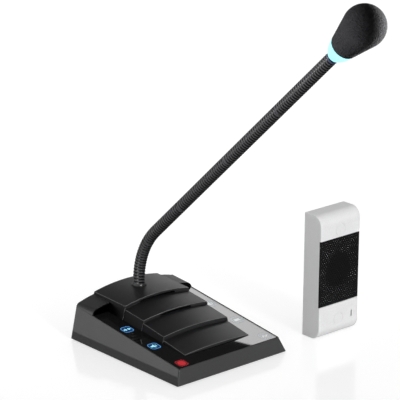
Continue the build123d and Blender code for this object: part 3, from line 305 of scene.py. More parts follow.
def make_reflection_card(name, eye, spots, strength, receivers):
    """A bright card that the named nodes mirror towards the eye, within the given corners on the plate."""
    distance = 0.55
    on_plate = Vector((0, 0, plate_level * MM))
    mirrored_eye = eye - plate_up * 2 * (eye - on_plate).dot(plate_up)
    corners = []
    for x, y in spots:
        spot = plate_matrix(x, y, 0).translation
        corners.append(spot + (spot - mirrored_eye).normalized() * distance)
    mesh = bpy.data.meshes.new(name)
    mesh.from_pydata(corners, [], [tuple(range(len(corners)))])
    glow = {"Emission Color": white, "Emission Strength": strength}
    mesh.materials.append(finish(f"{name}_glow", (0, 0, 0), 0.5, values=glow))
    card = new_object(name, mesh)
    for sense in ("camera", "diffuse", "shadow", "transmission"):
        setattr(card, f"visible_{sense}", False)
    return light_alone(card, [frame["nodes"][node] for node in receivers])


# ---- finishes ----


def shader_group(name, inputs, outputs):
    """An empty shader node group with named sockets; gives it, its inputs and its outputs."""
    group = bpy.data.node_groups.new(name, "ShaderNodeTree")
    for label, value in inputs:
        socket = group.interface.new_socket(label, in_out="INPUT", socket_type="NodeSocketFloat")
        socket.default_value = value
    for label in outputs:
        group.interface.new_socket(label, in_out="OUTPUT", socket_type="NodeSocketFloat")
    return group, group.nodes.new("NodeGroupInput").outputs, group.nodes.new("NodeGroupOutput").inputs


def put_out(group, ends, **results):
    """Links a group's results to the sockets that they are named for."""
    for label, socket in results.items():
        group.links.new(socket, ends[label])


def noise_node(tree, scale, detail=2.0):
    """Noise over the object's own coordinates, its scale in cells per metre."""
    feeds = {"Vector": object_place(tree), "Scale": scale, "Detail": detail}
    return result(tree, "ShaderNodeTexNoise", feeds)


def cells_node(tree, scale):
    """How far a point is from the middle of its cell, the scale in cells per metre."""
    return result(tree, "ShaderNodeTexVoronoi", {"Vector": object_place(tree), "Scale": scale})


def make_grain_group():
    """Spark-eroded mould grain: a fine pebbled height, and a slow drift of shade and gloss."""
    inputs = [("Grain Scale", 3000), ("Drift Scale", 40), ("Drift", 0.1), ("Haze", 0.12)]
    group, given, ends = shader_group("mould_grain", inputs, ("Height", "Shade", "Haze"))
    fine = noise_node(group, given["Grain Scale"], 3.0)
    pebble = cells_node(group, given["Grain Scale"])
    height = math_node(group, "MULTIPLY_ADD", pebble, 0.6, fine)
    drift = math_node(group, "SUBTRACT", noise_node(group, given["Drift Scale"], 4.0), 0.5)
    drifted = math_node(group, "MULTIPLY_ADD", drift, given["Drift"], 1.0)
    shade = math_node(group, "MULTIPLY_ADD", math_node(group, "SUBTRACT", fine, 0.5), 0.35, drifted)
    haze = math_node(group, "MULTIPLY", drift, given["Haze"])
    put_out(group, ends, Height=height, Shade=shade, Haze=haze)
    return group


def make_foam_group():
    """Open-cell foam: pits between fine struts, the pits darkened as painted shade."""
    inputs = [("Cell Scale", 1500), ("Pit", 0.5)]
    group, given, ends = shader_group("foam_cells", inputs, ("Height", "Shade"))
    pits = cells_node(group, given["Cell Scale"])
    struts = cells_node(group, math_node(group, "MULTIPLY", given["Cell Scale"], 1.9))
    depth = math_node(group, "MULTIPLY_ADD", struts, 0.5, pits)
    drift = math_node(group, "MULTIPLY", noise_node(group, 90.0, 3.0), 0.2)
    # painted shade: the colour is darker in the pits, where the foam's height is low
    dark = math_node(group, "MULTIPLY", pits, given["Pit"])
    shade = math_node(group, "ADD", math_node(group, "SUBTRACT", 1.15, dark), drift)
    put_out(group, ends, Height=math_node(group, "SUBTRACT", 1.0, depth), Shade=shade)
    return group


def make_brush_group():
    """Fine lines along one axis, as drawn or brushed metal has."""
    group, given, ends = shader_group("drawn_lines", [("Line Scale", 2500)], ("Height", "Shade"))
    drawn_out = result(group, "ShaderNodeMapping", {"Vector": object_place(group), "Scale": (1, 1, 0.03)})
    feeds = {"Vector": drawn_out, "Scale": given["Line Scale"], "Detail": 3}
    lines = result(group, "ShaderNodeTexNoise", feeds)
    put_out(group, ends, Height=lines, Shade=math_node(group, "MULTIPLY_ADD", lines, 0.4, 0.8))
    return group


def finish(name, colour, roughness, group=None, bump=0.0, depth=0.02, settings=None, values=None):
    """A Principled material whose shade, gloss and height vary by a shared group."""
    material = bpy.data.materials.new(name)
    material.use_nodes = True
    material.diffuse_color = (*colour, 1)
    tree, surface = tree_and_surface(material)
    plain = {"Base Color": (*colour, 1), "Roughness": roughness, **(values or {})}
    for label, value in plain.items():
        surface.inputs[label].default_value = value
    if group is None:
        return material
    effect = add_node(tree, "ShaderNodeGroup", settings, node_tree=group)
    tint = mix_colours(tree, (*colour, 1), effect.outputs["Shade"], blend="MULTIPLY")
    tree.links.new(tint, surface.inputs["Base Color"])
    if "Haze" in effect.outputs:
        gloss = math_node(tree, "ADD", effect.outputs["Haze"], roughness)
        tree.links.new(gloss, surface.inputs["Roughness"])
    feeds = {"Strength": bump, "Distance": depth * MM, "Height": effect.outputs["Height"]}
    tree.links.new(result(tree, "ShaderNodeBump", feeds), surface.inputs["Normal"])
    return material


def lit_finish(name, colour, glow, strength=1.0, body=(0.01, 0.01, 0.012), roughness=0.06):
    """A gloss surface lit from below, its glow slightly uneven."""
    material = finish(name, body, roughness, values={"Emission Strength": strength})
    material.diffuse_color = (*colour, 1)
    tree, surface = tree_and_surface(material)
    evenness = math_node(tree, "MULTIPLY_ADD", noise_node(tree, 900.0), 0.3, 0.85)
    tint = mix_colours(tree, (*glow, 1), evenness, blend="MULTIPLY")
    tree.links.new(tint, surface.inputs["Emission Color"])
    return material


def repaint(material, colour, share=1.0, blend="MIX"):
    """Mixes a colour over a material's base colour as it is so far, all over or by a mask."""
    tree, surface = tree_and_surface(material)
    so_far = surface.inputs["Base Color"].links[0].from_socket
    tree.links.new(mix_colours(tree, so_far, colour, share, blend), surface.inputs["Base Color"])


def paint_wall_shade(material, colour, axis="X", band=(0.6, 0.85)):
    """Paints the walls that face along X, or away from Z, a deep black as painted shade; the roofs keep their
    finish.
    """
    tree, surface = tree_and_surface(material)
    sideways = math_node(tree, "ABSOLUTE", split_coordinates(tree, "Normal")[axis])
    if axis == "Z":
        sideways = math_node(tree, "SUBTRACT", 1.0, sideways)
    wall = ramp(tree, sideways, [(band[0], 0.0), (band[1], 1.0)])
    repaint(material, (*colour, 1), wall)
    tree.links.new(wall, surface.inputs["Metallic"])


def paint_edge_highlights(material, colour, amount):
    """Paints the rounded top edges, whose faces tilt between roof and wall, a lighter colour as a painted
    highlight.
    """
    upward = split_coordinates(material.node_tree, "Normal")["Z"]
    stops = [(0.42, 0.0), (0.6, amount), (0.85, amount), (0.94, 0.0)]
    repaint(material, (*colour, 1), ramp(material.node_tree, upward, stops))


def matt_foot(material, height, roughness):
    """Below a height the side walls are left matt, where the polished mould face ends."""
    tree, surface = tree_and_surface(material)
    facing = math_node(tree, "ABSOLUTE", split_coordinates(tree, "Normal")["X"])
    sideways = ramp(tree, facing, [(0.75, 0.0), (0.85, 1.0)])
    level = math_node(tree, "DIVIDE", split_coordinates(tree, "Object")["Z"], 2 * height * MM)
    mask = math_node(tree, "MULTIPLY", sideways, ramp(tree, level, [(0.47, 1.0), (0.55, 0.0)]))
    gloss = surface.inputs["Roughness"]
    so_far = gloss.links[0].from_socket
    duller = math_node(tree, "MULTIPLY_ADD", mask, roughness - gloss.default_value, so_far)
    tree.links.new(duller, gloss)


def paint_groove_shade(material, share):
    """Leaves only a share of the colour between the ribs, as painted shade where no light reaches."""
    tree = material.node_tree
    crown = add_node(tree, "ShaderNodeAttribute", attribute_name="crown").outputs["Fac"]
    repaint(material, ramp(tree, crown, [(0.84, share), (1.0, 1.0)]), blend="MULTIPLY")


def glow_from_ring(material, colour, reach):
    """The light ring's blue spill on the neck, fading out along it."""
    tree, surface = tree_and_surface(material)
    feeds = {0: object_place(tree), 1: neck_point(neck_length)}
    away = add_node(tree, "ShaderNodeVectorMath", feeds, operation="DISTANCE").outputs["Value"]
    share = math_node(tree, "DIVIDE", away, 2 * reach * MM)
    spill = ramp(tree, share, [(0.2, colour), (0.5, 0.0)])
    tree.links.new(spill, surface.inputs["Emission Color"])
    surface.inputs["Emission Strength"].default_value = 1.0


grain = make_grain_group()
foam_cells = make_foam_group()
drawn = make_brush_group()

# painted shade: the near-black colour given to the walls of the cover and the overlay
wall_shade_black = (0.006, 0.006, 0.0065)
case_black = finish(
    "case_satin_plastic", (0.034, 0.034, 0.035), 0.40, grain, 0.25, 0.03, {"Grain Scale": 2600, "Drift": 0.12}
)
matt_foot(case_black, 7.2, 0.8)
cover_black = finish(
    "cover_satin_plastic", (0.012, 0.012, 0.013), 0.36, grain, 0.25, 0.03,
    {"Grain Scale": 2300, "Drift": 0.15},
)
# painted shade: the cover's side walls are painted near black
paint_wall_shade(cover_black, wall_shade_black)
# painted highlight: the cover's rounded top edges are painted lighter
paint_edge_highlights(cover_black, (0.20, 0.20, 0.20), 1.0)
gloss_black = ((0.009, 0.009, 0.0095), 0.02, grain, 0.008, 0.002)
overlay_black = finish("overlay_gloss_acrylic", *gloss_black, {"Grain Scale": 500, "Haze": 0.02})
# painted shade: the overlay's steep faces are painted near black
paint_wall_shade(overlay_black, wall_shade_black, "Z", (0.2, 0.5))
key_black = finish("key_gloss_plastic", *gloss_black, {"Grain Scale": 560, "Haze": 0.02})
screw_steel = finish(
    "screw_zinc_steel", (0.45, 0.45, 0.46), 0.34, grain, 0.12, 0.01,
    {"Grain Scale": 1500, "Drift": 0.3}, {"Metallic": 1.0},
)
brass = finish(
    "nut_brass_plate", (0.62, 0.46, 0.18), 0.3, drawn, 0.15, 0.01, {"Line Scale": 1800}, {"Metallic": 1.0}
)
neck_black = finish(
    "neck_black_oxide_wire", (0.027, 0.027, 0.0285), 0.34, drawn, 0.12, 0.01, {"Line Scale": 2400},
    {"Specular IOR Level": 0.08},
)
# painted shade: the grooves between the neck's ribs are painted near black
paint_groove_shade(neck_black, 0.05)
glow_from_ring(neck_black, (0.012, 0.035, 0.13), 7.0)
capsule_steel = finish(
    "capsule_aluminium", (0.6, 0.6, 0.62), 0.35, drawn, 0.2, 0.01, {"Line Scale": 2400}, {"Metallic": 1.0}
)
foam_black = finish(
    "windscreen_foam", (0.006, 0.006, 0.0065), 0.95, foam_cells, 0.75, 0.5, {"Cell Scale": 1150, "Pit": 1.0},
    {"Specular IOR Level": 0.02},
)
grille_black = finish(
    "grille_black_enamel", (0.004, 0.004, 0.0045), 0.5, grain, 0.3, 0.02,
    {"Grain Scale": 2000, "Drift": 0.3}, {"Specular IOR Level": 0.1},
)
ring_glow = lit_finish(
    "ring_cyan_diffuser", (0.4, 0.95, 0.95), (0.38, 0.97, 1.0), 0.98, (0.30, 0.45, 0.45), 0.35
)
legend_blue = lit_finish("legend_blue_light", (0.08, 0.4, 0.8), (0.085, 0.30, 0.64))
legend_cyan = lit_finish("legend_cyan_light", (0.4, 0.9, 1.0), (0.36, 0.84, 1.0))
legend_navy = lit_finish("legend_navy_light", (0.01, 0.03, 0.12), (0.004, 0.022, 0.10))
legend_red = lit_finish("legend_red_light", (0.7, 0.03, 0.04), (0.52, 0.022, 0.03))
legend_ember = lit_finish("legend_ember_light", (0.2, 0.02, 0.02), (0.16, 0.010, 0.012))
legend_pale = lit_finish("legend_pale_light", (0.7, 0.8, 0.85), (0.27, 0.31, 0.32))
legend_haze = lit_finish("legend_haze_light", (0.5, 0.65, 0.75), (0.06, 0.13, 0.17))
# a plain grey for the tick mark on the overlay
tick_grey = finish("print_grey_ink", (0.10, 0.10, 0.10), 0.5, grain, 0.1, 0.01, {"Grain Scale": 3000})

node_finishes = {
    "case_plastic": case_black,
    "overlay_gloss": overlay_black,
    "cover_plastic": cover_black,
    "key_plastic": key_black,
    "screw_steel": screw_steel,
    "nut_brass": brass,
    "ring_diffuser": ring_glow,
    "capsule_metal": capsule_steel,
    "foam_black": foam_black,
    "panel_grille_metal": grille_black,
}
# by slot: the finish's name, colour and roughness, its bump and depth, grain scale and drift, and metallic
grained_finishes = {
    "rubber_black": ("rubber_matt", (0.018, 0.018, 0.018), 0.78, 0.5, 0.05, 1800, 0.3, 0.0),
    "board_laminate": ("board_solder_resist", (0.01, 0.11, 0.04), 0.35, 0.15, 0.02, 900, 0.4, 0.0),
    "switch_plastic": ("switch_nylon", (0.03, 0.03, 0.03), 0.55, 0.3, 0.02, 2500, 0.1, 0.0),
    "speaker_steel": ("speaker_painted_steel", (0.05, 0.05, 0.05), 0.45, 0.2, 0.02, 1600, 0.3, 0.6),
    "speaker_paper": ("speaker_doped_paper", (0.03, 0.029, 0.027), 0.85, 0.6, 0.05, 1300, 0.4, 0.0),
    "magnet_iron": ("magnet_ferrite", (0.07, 0.07, 0.075), 0.6, 0.4, 0.03, 1200, 0.4, 0.0),
    "socket_plastic": ("socket_nylon", (0.014, 0.014, 0.014), 0.48, 0.3, 0.02, 2600, 0.1, 0.0),
    "terminal_plastic": ("terminal_nylon", (0.03, 0.17, 0.06), 0.5, 0.3, 0.02, 2600, 0.1, 0.0),
    "neck_metal": ("collar_black_enamel", (0.018, 0.018, 0.02), 0.32, 0.1, 0.01, 2000, 0.1, 0.0),
    "sleeve_metal": ("sleeve_black_enamel", (0.02, 0.02, 0.021), 0.35, 0.1, 0.01, 2000, 0.1, 0.0),
    "panel_shell": ("panel_silver_paint", (0.73, 0.73, 0.735), 0.42, 0.35, 0.03, 2200, 0.04, 0.0),
    "panel_back_plastic": ("panel_back_plastic", (0.03, 0.03, 0.03), 0.55, 0.35, 0.03, 2200, 0.2, 0.0),
}
for slot, (name, colour, roughness, bump, depth, scale, drift, metallic) in grained_finishes.items():
    settings, values = {"Grain Scale": scale, "Drift": drift}, {"Metallic": metallic}
    node_finishes[slot] = finish(name, colour, roughness, grain, bump, depth, settings, values)


def finish_nodes():
    """Every node of the frame takes the finish of its material slot."""
    for part in frame["record"]["subparts"]:
        node = frame["nodes"][part["node"]]
        material = node_finishes[part["material_slot"]]
        if node.material_slots:
            for slot in node.material_slots:
                slot.link = "OBJECT"
                slot.material = material
        else:
            node.data.materials.append(material)


# ---- geometry node trees ----


def geometry_tree(name, sizes, counts=()):
    """A geometry node tree with named inputs; gives it, its input sockets and its output node."""
    tree = bpy.data.node_groups.new(name, "GeometryNodeTree")
    kinds = {"Geometry": "Geometry", **dict.fromkeys(sizes, "Float"), **dict.fromkeys(counts, "Int")}
    for label, kind in {**kinds, "Finish": "Material"}.items():
        tree.interface.new_socket(label, in_out="INPUT", socket_type=f"NodeSocket{kind}")
    tree.interface.new_socket("Geometry", in_out="OUTPUT", socket_type="NodeSocketGeometry")
    return tree, tree.nodes.new("NodeGroupInput").outputs, tree.nodes.new("NodeGroupOutput")


def realise(tree, end, geometry, material):
    """The tree's last two nodes: real geometry, with its material."""
    real = result(tree, "GeometryNodeRealizeInstances", {"Geometry": geometry})
    dressed = result(tree, "GeometryNodeSetMaterial", {"Geometry": real, "Material": material})
    tree.links.new(dressed, end.inputs["Geometry"])


def capture(tree, geometry, **fields):
    """Keeps fields on a curve, so that what is made along it can still read them; gives the sockets."""
    kept = tree.nodes.new("GeometryNodeCaptureAttribute")
    tree.links.new(geometry, kept.inputs["Geometry"])
    for label, field in fields.items():
        kept.capture_items.new("VECTOR" if field.type == "VECTOR" else "FLOAT", label)
        tree.links.new(field, kept.inputs[label])
    return kept.outputs


def joined(tree, *geometries):
    """Several geometries as one; gives the socket."""
    return result(tree, "GeometryNodeJoinGeometry", {"Geometry": list(geometries)})


def grow(name, data, tree, **values):
    """Runs a tree on a curve or mesh and gives the result as a plain mesh object at the origin."""
    source = new_object(f"{name}_source", data)
    modifier = source.modifiers.new("grow", "NODES")
    modifier.node_group = tree
    labels = {item.name: item.identifier for item in tree.interface.items_tree if item.in_out == "INPUT"}
    for label, value in values.items():
        modifier[labels[label.replace("_", " ")]] = value
    mesh = evaluated_mesh(source)
    mesh.name = name
    return new_object(name, mesh)


def make_coil_tree():
    """Close-wound wire: a tube along a curve whose wall rises in a helix of round ribs."""
    roundness = 0.96
    sizes = ("Radius", "Groove", "Rib Pitch", "Start", "Row Length")
    tree, given, end = geometry_tree("close_wound_coil", sizes, ["Around"])
    feeds = {"Curve": given["Geometry"], "Length": given["Row Length"]}
    rows = result(tree, "GeometryNodeResampleCurve", feeds, mode="LENGTH")
    along = tree.nodes.new("GeometryNodeSplineParameter").outputs["Length"]
    centre = tree.nodes.new("GeometryNodeInputPosition").outputs["Position"]
    line = capture(tree, rows, Along=along, Centre=centre)
    core = math_node(tree, "SUBTRACT", given["Radius"], given["Groove"])
    feeds = {"Resolution": given["Around"], "Radius": core}
    ring = result(tree, "GeometryNodeCurvePrimitiveCircle", feeds, mode="RADIUS")
    turn = tree.nodes.new("GeometryNodeSplineParameter").outputs["Factor"]
    profile = capture(tree, ring, Turn=turn)
    feeds = {"Curve": line["Geometry"], "Profile Curve": profile["Geometry"], "Fill Caps": True}
    tube = result(tree, "GeometryNodeCurveToMesh", feeds)
    place = math_node(tree, "ADD", line["Along"], given["Start"])
    winds = math_node(tree, "DIVIDE", place, given["Rib Pitch"])
    phase = math_node(tree, "FRACT", math_node(tree, "ADD", winds, profile["Turn"]))
    across = math_node(tree, "MULTIPLY_ADD", phase, 2.0, -1.0)
    fall = math_node(tree, "MULTIPLY", math_node(tree, "MULTIPLY", across, across), roundness)
    rise = math_node(tree, "SQRT", math_node(tree, "SUBTRACT", 1.0, fall))
    height = math_node(tree, "MULTIPLY", rise, given["Groove"])
    here = tree.nodes.new("GeometryNodeInputPosition").outputs["Position"]
    spoke = vector_node(tree, "SUBTRACT", {0: here, 1: line["Centre"]})
    outward = vector_node(tree, "NORMALIZE", {0: spoke})
    push = vector_node(tree, "SCALE", {0: outward, "Scale": height})
    # the crown height is kept for the painted groove shade in the neck's finish
    feeds = {"Geometry": tube, "Name": "crown", "Value": rise}
    marked = result(tree, "GeometryNodeStoreNamedAttribute", feeds, data_type="FLOAT", domain="POINT")
    ribbed = result(tree, "GeometryNodeSetPosition", {"Geometry": marked, "Offset": push})
    smooth = result(tree, "GeometryNodeSetShadeSmooth", {"Geometry": ribbed})
    realise(tree, end, smooth, given["Finish"])
    return tree


def make_perforation_tree():
    """A flat sheet with staggered rows of round holes, lying on its back at the origin."""
    hole_sides, weld_distance = 8, 0.001
    sizes = ("Width", "Height", "Thickness", "Column Pitch", "Row Pitch", "Hole")
    tree, given, end = geometry_tree("perforated_sheet", sizes, ["Columns", "Rows"])
    feeds = {"Width": given["Width"], "Height": given["Height"]}
    sheet = result(tree, "GeometryNodeCurvePrimitiveQuadrilateral", feeds, mode="RECTANGLE")
    last_column = math_node(tree, "SUBTRACT", given["Columns"], 1)
    last_row = math_node(tree, "SUBTRACT", given["Rows"], 1)
    feeds = {
        "Size X": math_node(tree, "MULTIPLY", last_column, given["Column Pitch"]),
        "Size Y": math_node(tree, "MULTIPLY", last_row, given["Row Pitch"]),
        "Vertices X": given["Columns"],
        "Vertices Y": given["Rows"],
    }
    spots = result(tree, "GeometryNodeMeshGrid", feeds)
    number = tree.nodes.new("GeometryNodeInputIndex").outputs["Index"]
    odd = math_node(tree, "MODULO", math_node(tree, "MODULO", number, given["Rows"]), 2.0)
    shift = math_node(tree, "MULTIPLY", math_node(tree, "SUBTRACT", odd, 0.5), given["Column Pitch"])
    aside = result(tree, "ShaderNodeCombineXYZ", {"X": math_node(tree, "MULTIPLY", shift, 0.5)})
    staggered = result(tree, "GeometryNodeSetPosition", {"Geometry": spots, "Offset": aside})
    feeds = {"Resolution": hole_sides, "Radius": given["Hole"]}
    hole = result(tree, "GeometryNodeCurvePrimitiveCircle", feeds, mode="RADIUS")
    holes = result(tree, "GeometryNodeInstanceOnPoints", {"Points": staggered, "Instance": hole})
    cut = result(tree, "GeometryNodeRealizeInstances", {"Geometry": holes})
    face = result(tree, "GeometryNodeFillCurve", {"Curve": joined(tree, cut, sheet)}, mode="TRIANGLES")
    feeds = {"Mesh": face, "Offset Scale": given["Thickness"], "Individual": False}
    raised = result(tree, "GeometryNodeExtrudeMesh", feeds, mode="FACES")
    under = result(tree, "GeometryNodeFlipFaces", {"Mesh": face})
    both = joined(tree, raised, under)
    feeds = {"Geometry": both, "Distance": weld_distance * MM}
    welded = result(tree, "GeometryNodeMergeByDistance", feeds)
    realise(tree, end, welded, given["Finish"])
    return tree


def make_screw_tree():
    """Cross-head screws, one at each point, with the head towards +Z and the shank below."""
    head_sides, shank_sides = 28, 16
    head_taper, arm_reach, arm_width, arm_depth = 0.8, 1.05, 0.24, 1.2  # shares of the head's own sizes
    sizes = ("Head Radius", "Head Height", "Shank Radius", "Shank Length")
    tree, given, end = geometry_tree("cross_head_screws", sizes)
    feeds = {
        "Vertices": head_sides,
        "Radius Top": math_node(tree, "MULTIPLY", given["Head Radius"], head_taper),
        "Radius Bottom": given["Head Radius"],
        "Depth": given["Head Height"],
    }
    head = result(tree, "GeometryNodeMeshCone", feeds, fill_type="NGON")
    arm = math_node(tree, "MULTIPLY", given["Head Radius"], arm_reach)
    slim = math_node(tree, "MULTIPLY", given["Head Radius"], arm_width)
    deep = math_node(tree, "MULTIPLY", given["Head Height"], arm_depth)
    bars = []
    for x, y in ((arm, slim), (slim, arm)):
        size = result(tree, "ShaderNodeCombineXYZ", {"X": x, "Y": y, "Z": deep})
        bars.append(result(tree, "GeometryNodeMeshCube", {"Size": size}))
    lift = result(tree, "ShaderNodeCombineXYZ", {"Z": given["Head Height"]})
    cross = result(tree, "GeometryNodeTransform", {"Geometry": joined(tree, *bars), "Translation": lift})
    # the bars overlap, and with the node's Self Intersection off the cut head comes out empty
    feeds = {"Mesh 1": head, "Mesh 2": cross}
    recessed = result(tree, "GeometryNodeMeshBoolean", feeds, operation="DIFFERENCE", solver="EXACT")
    feeds = {"Vertices": shank_sides, "Radius": given["Shank Radius"], "Depth": given["Shank Length"]}
    rod = result(tree, "GeometryNodeMeshCylinder", feeds, fill_type="NGON")
    half_down = math_node(tree, "MULTIPLY", given["Shank Length"], -0.5)
    drop = result(tree, "ShaderNodeCombineXYZ", {"Z": half_down})
    shank = result(tree, "GeometryNodeTransform", {"Geometry": rod, "Translation": drop})
    screw = joined(tree, recessed, shank)
    placed = result(tree, "GeometryNodeInstanceOnPoints", {"Points": given["Geometry"], "Instance": screw})
    realise(tree, end, placed, given["Finish"])
    return tree


# ---- forms ----


def arc(centre, radius, first, last, steps):
    """Points of an arc, from its first turn to its last, both ends among them."""
    turns = [first + (last - first) * step / steps for step in range(steps + 1)]
    return [(centre[0] + radius * cos(turn), centre[1] + radius * sin(turn)) for turn in turns]


def circle(radius, count=48):
    """Points round a circle about the origin."""
    return arc((0, 0), radius, 0, 2 * pi, count)[:-1]


def rounded_square(side, corner):
    """Points round a square with round corners, about the origin."""
    reach = side / 2 - corner
    points = []
    for quarter, (x, y) in enumerate(((1, 1), (-1, 1), (-1, -1), (1, -1))):
        points += arc((x * reach, y * reach), corner, pi / 2 * quarter, pi / 2 * (quarter + 1), 8)
    return points


def stretch_of(points, first, last, steps=4):
    """Points along a share of the way round a closed outline."""
    spans = [dist(a, b) for a, b in zip(points, points[1:] + points[:1])]
    stretch = []
    for place in [first + (last - first) * step / steps for step in range(steps + 1)]:
        run, number = place * sum(spans), 0
        while run > spans[number]:
            run -= spans[number]
            number += 1
        (ax, ay), (bx, by) = points[number], points[(number + 1) % len(points)]
        share = run / spans[number]
        stretch.append((ax + (bx - ax) * share, ay + (by - ay) * share))
    return stretch


def flat_shape(name, outlines, thickness, place, material):
    """A thin slab with the given outlines, inner ones being holes, put on a plane."""
    data = bpy.data.curves.new(name, "CURVE")
    data.dimensions = "2D"
    data.fill_mode = "BOTH"
    data.extrude = thickness / 2 * MM
    for outline in outlines:
        spline = data.splines.new("POLY")
        spline.points.add(len(outline) - 1)
        for point, (x, y) in zip(spline.points, outline):
            point.co = (x * MM, y * MM, 0, 1)
        spline.use_cyclic_u = True
    mesh = evaluated_mesh(new_object(f"{name}_source", data))
    mesh.transform(place)
    mesh.materials.clear()
    mesh.materials.append(material)
    return new_object(name, mesh)


def bridge(form, rings):
    """Faces between each ring of points and the next."""
    for lower, upper in zip(rings, rings[1:]):
        for step in range(len(lower)):
            after = (step + 1) % len(lower)
            form.faces.new((lower[step], lower[after], upper[after], upper[step]))


def object_of(form, name, material):
    """A closed form made an object of one material, its faces pointing outwards."""
    bmesh.ops.recalc_face_normals(form, faces=form.faces)
    mesh = bpy.data.meshes.new(name)
    form.to_mesh(mesh)
    form.free()
    mesh.materials.append(material)
    return new_object(name, mesh)


def lathe(name, profile, place, material, around=96):
    """A turned form about the Z axis of a place, closed by flat ends, from its radii and heights."""
    form = bmesh.new()
    rings = []
    for radius, height in profile:
        rings.append([form.verts.new(Vector((x, y, height)) * MM) for x, y in circle(radius, around)])
    bridge(form, rings)
    form.faces.new(rings[0])
    form.faces.new(rings[-1])
    form.transform(place)
    return object_of(form, name, material)


# ---- gooseneck and windscreen ----


def ball_link_profile():
    """Radii and heights of a ball link: a ball between the two stems that seat in its neighbours."""
    ball, stem, reach, flats = 4.5, 1.9, 8.0, 12
    half = pi / 2 - asin(stem / ball)
    return [(stem, -reach), *arc((0, 0), ball, -half, half, flats), (stem, reach)]


def make_gooseneck():
    """Five lengths of coil, each laid across one joint, and a ball link where two of them meet at a joint."""
    groove, wire_pitch, rows_a_turn, around = 1.15, 2.75, 10, 30
    line_step = 1.5
    tree = make_coil_tree()
    joints = [neck_first_joint + step * neck_pitch for step in range(neck_joints)]
    bodies = ["console"] + [f"neck_{number}" for number in range(1, neck_joints + 1)]
    bends = [0, 1, 3, 5, 7]
    meetings = [2, 4, 6]
    seam = (joints[0] + joints[1]) / 2
    half_gap = neck_radius * sin(neck_joint_limit / 2)
    starts = [-neck_root, seam, *[joints[meeting] + half_gap for meeting in meetings]]
    ends = [seam, *[joints[meeting] - half_gap for meeting in meetings], neck_length]
    pieces = []
    for number, (bend, start, end) in enumerate(zip(bends, starts, ends), 1):
        steps = max(2, ceil((end - start) / line_step))
        data = bpy.data.curves.new(f"neck_line_{number}", "CURVE")
        data.dimensions = "3D"
        spline = data.splines.new("POLY")
        spline.points.add(steps)
        for step, point in enumerate(spline.points):
            point.co = (*neck_point(start + (end - start) * step / steps), 1)
        coil = grow(
            f"gooseneck_coil_{number}",
            data,
            tree,
            Radius=neck_radius * MM,
            Groove=groove * MM,
            Rib_Pitch=wire_pitch * MM,
            Start=(start + neck_root) * MM,
            Row_Length=wire_pitch / rows_a_turn * MM,
            Around=around,
            Finish=neck_black,
        )
        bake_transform(coil)
        sections = [bend, bend + 1] if bend else [0]
        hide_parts(*[f"gooseneck_section_{section}" for section in sections])
        pieces.append(coil)
    for meeting in meetings:
        _, _, turn = neck_at(joints[meeting])
        place = Matrix.Translation(neck_point(joints[meeting])) @ Matrix.Rotation(turn, 4, "X")
        link = lathe(f"gooseneck_ball_{meeting + 1}", ball_link_profile(), place, neck_black, 32)
        crown = link.data.attributes.new("crown", "FLOAT", "POINT")
        crown.data.foreach_set("value", [1.0] * len(link.data.vertices))
        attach(link, bodies[meeting])
        pieces.append(link)
    return pieces


def windscreen_profile():
    """Radii and heights above the neck's end, from the well up: the bore's wall, and the foam's outside."""
    flat = 1.5  # of the foot, between the bore and the rounded edge
    rim = foam_foot_radius - foam_foot_edge
    edge_top = foam_foot + foam_foot_edge
    drop = edge_top - foam_centre
    touch = atan2(drop, foam_foot_radius) + acos(foam_radius / hypot(foam_foot_radius, drop))
    low_x, low_y = foam_radius * cos(touch), foam_centre + foam_radius * sin(touch)
    bore_rows, cone_rows, cap_rows, edge_rows = 12, 30, 60, 5
    bore_step = (foam_bore_end - foam_foot) / bore_rows
    bore = [(foam_bore, foam_bore_end - step * bore_step) for step in range(bore_rows + 1)]
    edge = arc((rim, edge_top), foam_foot_edge, -pi / 2, 0, edge_rows)
    run_x, run_y = (low_x - foam_foot_radius) / cone_rows, (low_y - edge_top) / cone_rows
    cone = [(foam_foot_radius + run_x * step, edge_top + run_y * step) for step in range(1, cone_rows + 1)]
    cap = arc((0, foam_centre), foam_radius, touch, pi / 2, cap_rows)[1:-1]
    return bore, [(rim - flat, foam_foot), *edge, *cone, *cap]


def make_windscreen():
    """The foam ball: a rounded cone with an uneven, cellular skin and its bore."""
    around, smooth_rows = 132, 2
    skin_depth, skin_swing = 0.10, 0.13
    fine_scale, fine_share, broad_scale, broad_share = 1.35, 0.5, 0.45, 0.35
    bore, outside = windscreen_profile()
    y0, z0, _ = neck_at(neck_length)
    base = Vector((0, y0, z0))
    axis = Vector((0, -sin(neck_lean), cos(neck_lean)))
    side = Vector((1, 0, 0))
    third = axis.cross(side)
    middle = base + axis * foam_centre
    form = bmesh.new()
    rings = []
    for row, (radius, height) in enumerate(bore + outside):
        ring = []
        for x, y in circle(radius, around):
            place = base + axis * height + (side * x + third * y)
            if row >= len(bore) + smooth_rows:
                fine = noise.noise(place * fine_scale) * fine_share
                broad = noise.noise(place * broad_scale) * broad_share
                place -= (place - middle).normalized() * (skin_depth + skin_swing * (fine + broad))
            ring.append(form.verts.new(place * MM))
        rings.append(ring)
    bridge(form, rings)
    tip = form.verts.new((base + axis * (foam_centre + foam_radius - skin_depth)) * MM)
    well = form.verts.new((base + axis * foam_bore_end) * MM)
    for step in range(around):
        after = (step + 1) % around
        form.faces.new((rings[-1][step], rings[-1][after], tip))
        form.faces.new((rings[0][after], rings[0][step], well))
    piece = object_of(form, "windscreen_skin", foam_black)
    piece.data.polygons.foreach_set("use_smooth", [True] * len(piece.data.polygons))
    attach(piece, "neck_8")
    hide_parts("foam_windscreen")
    return piece


# ---- keys, grille and screws ----


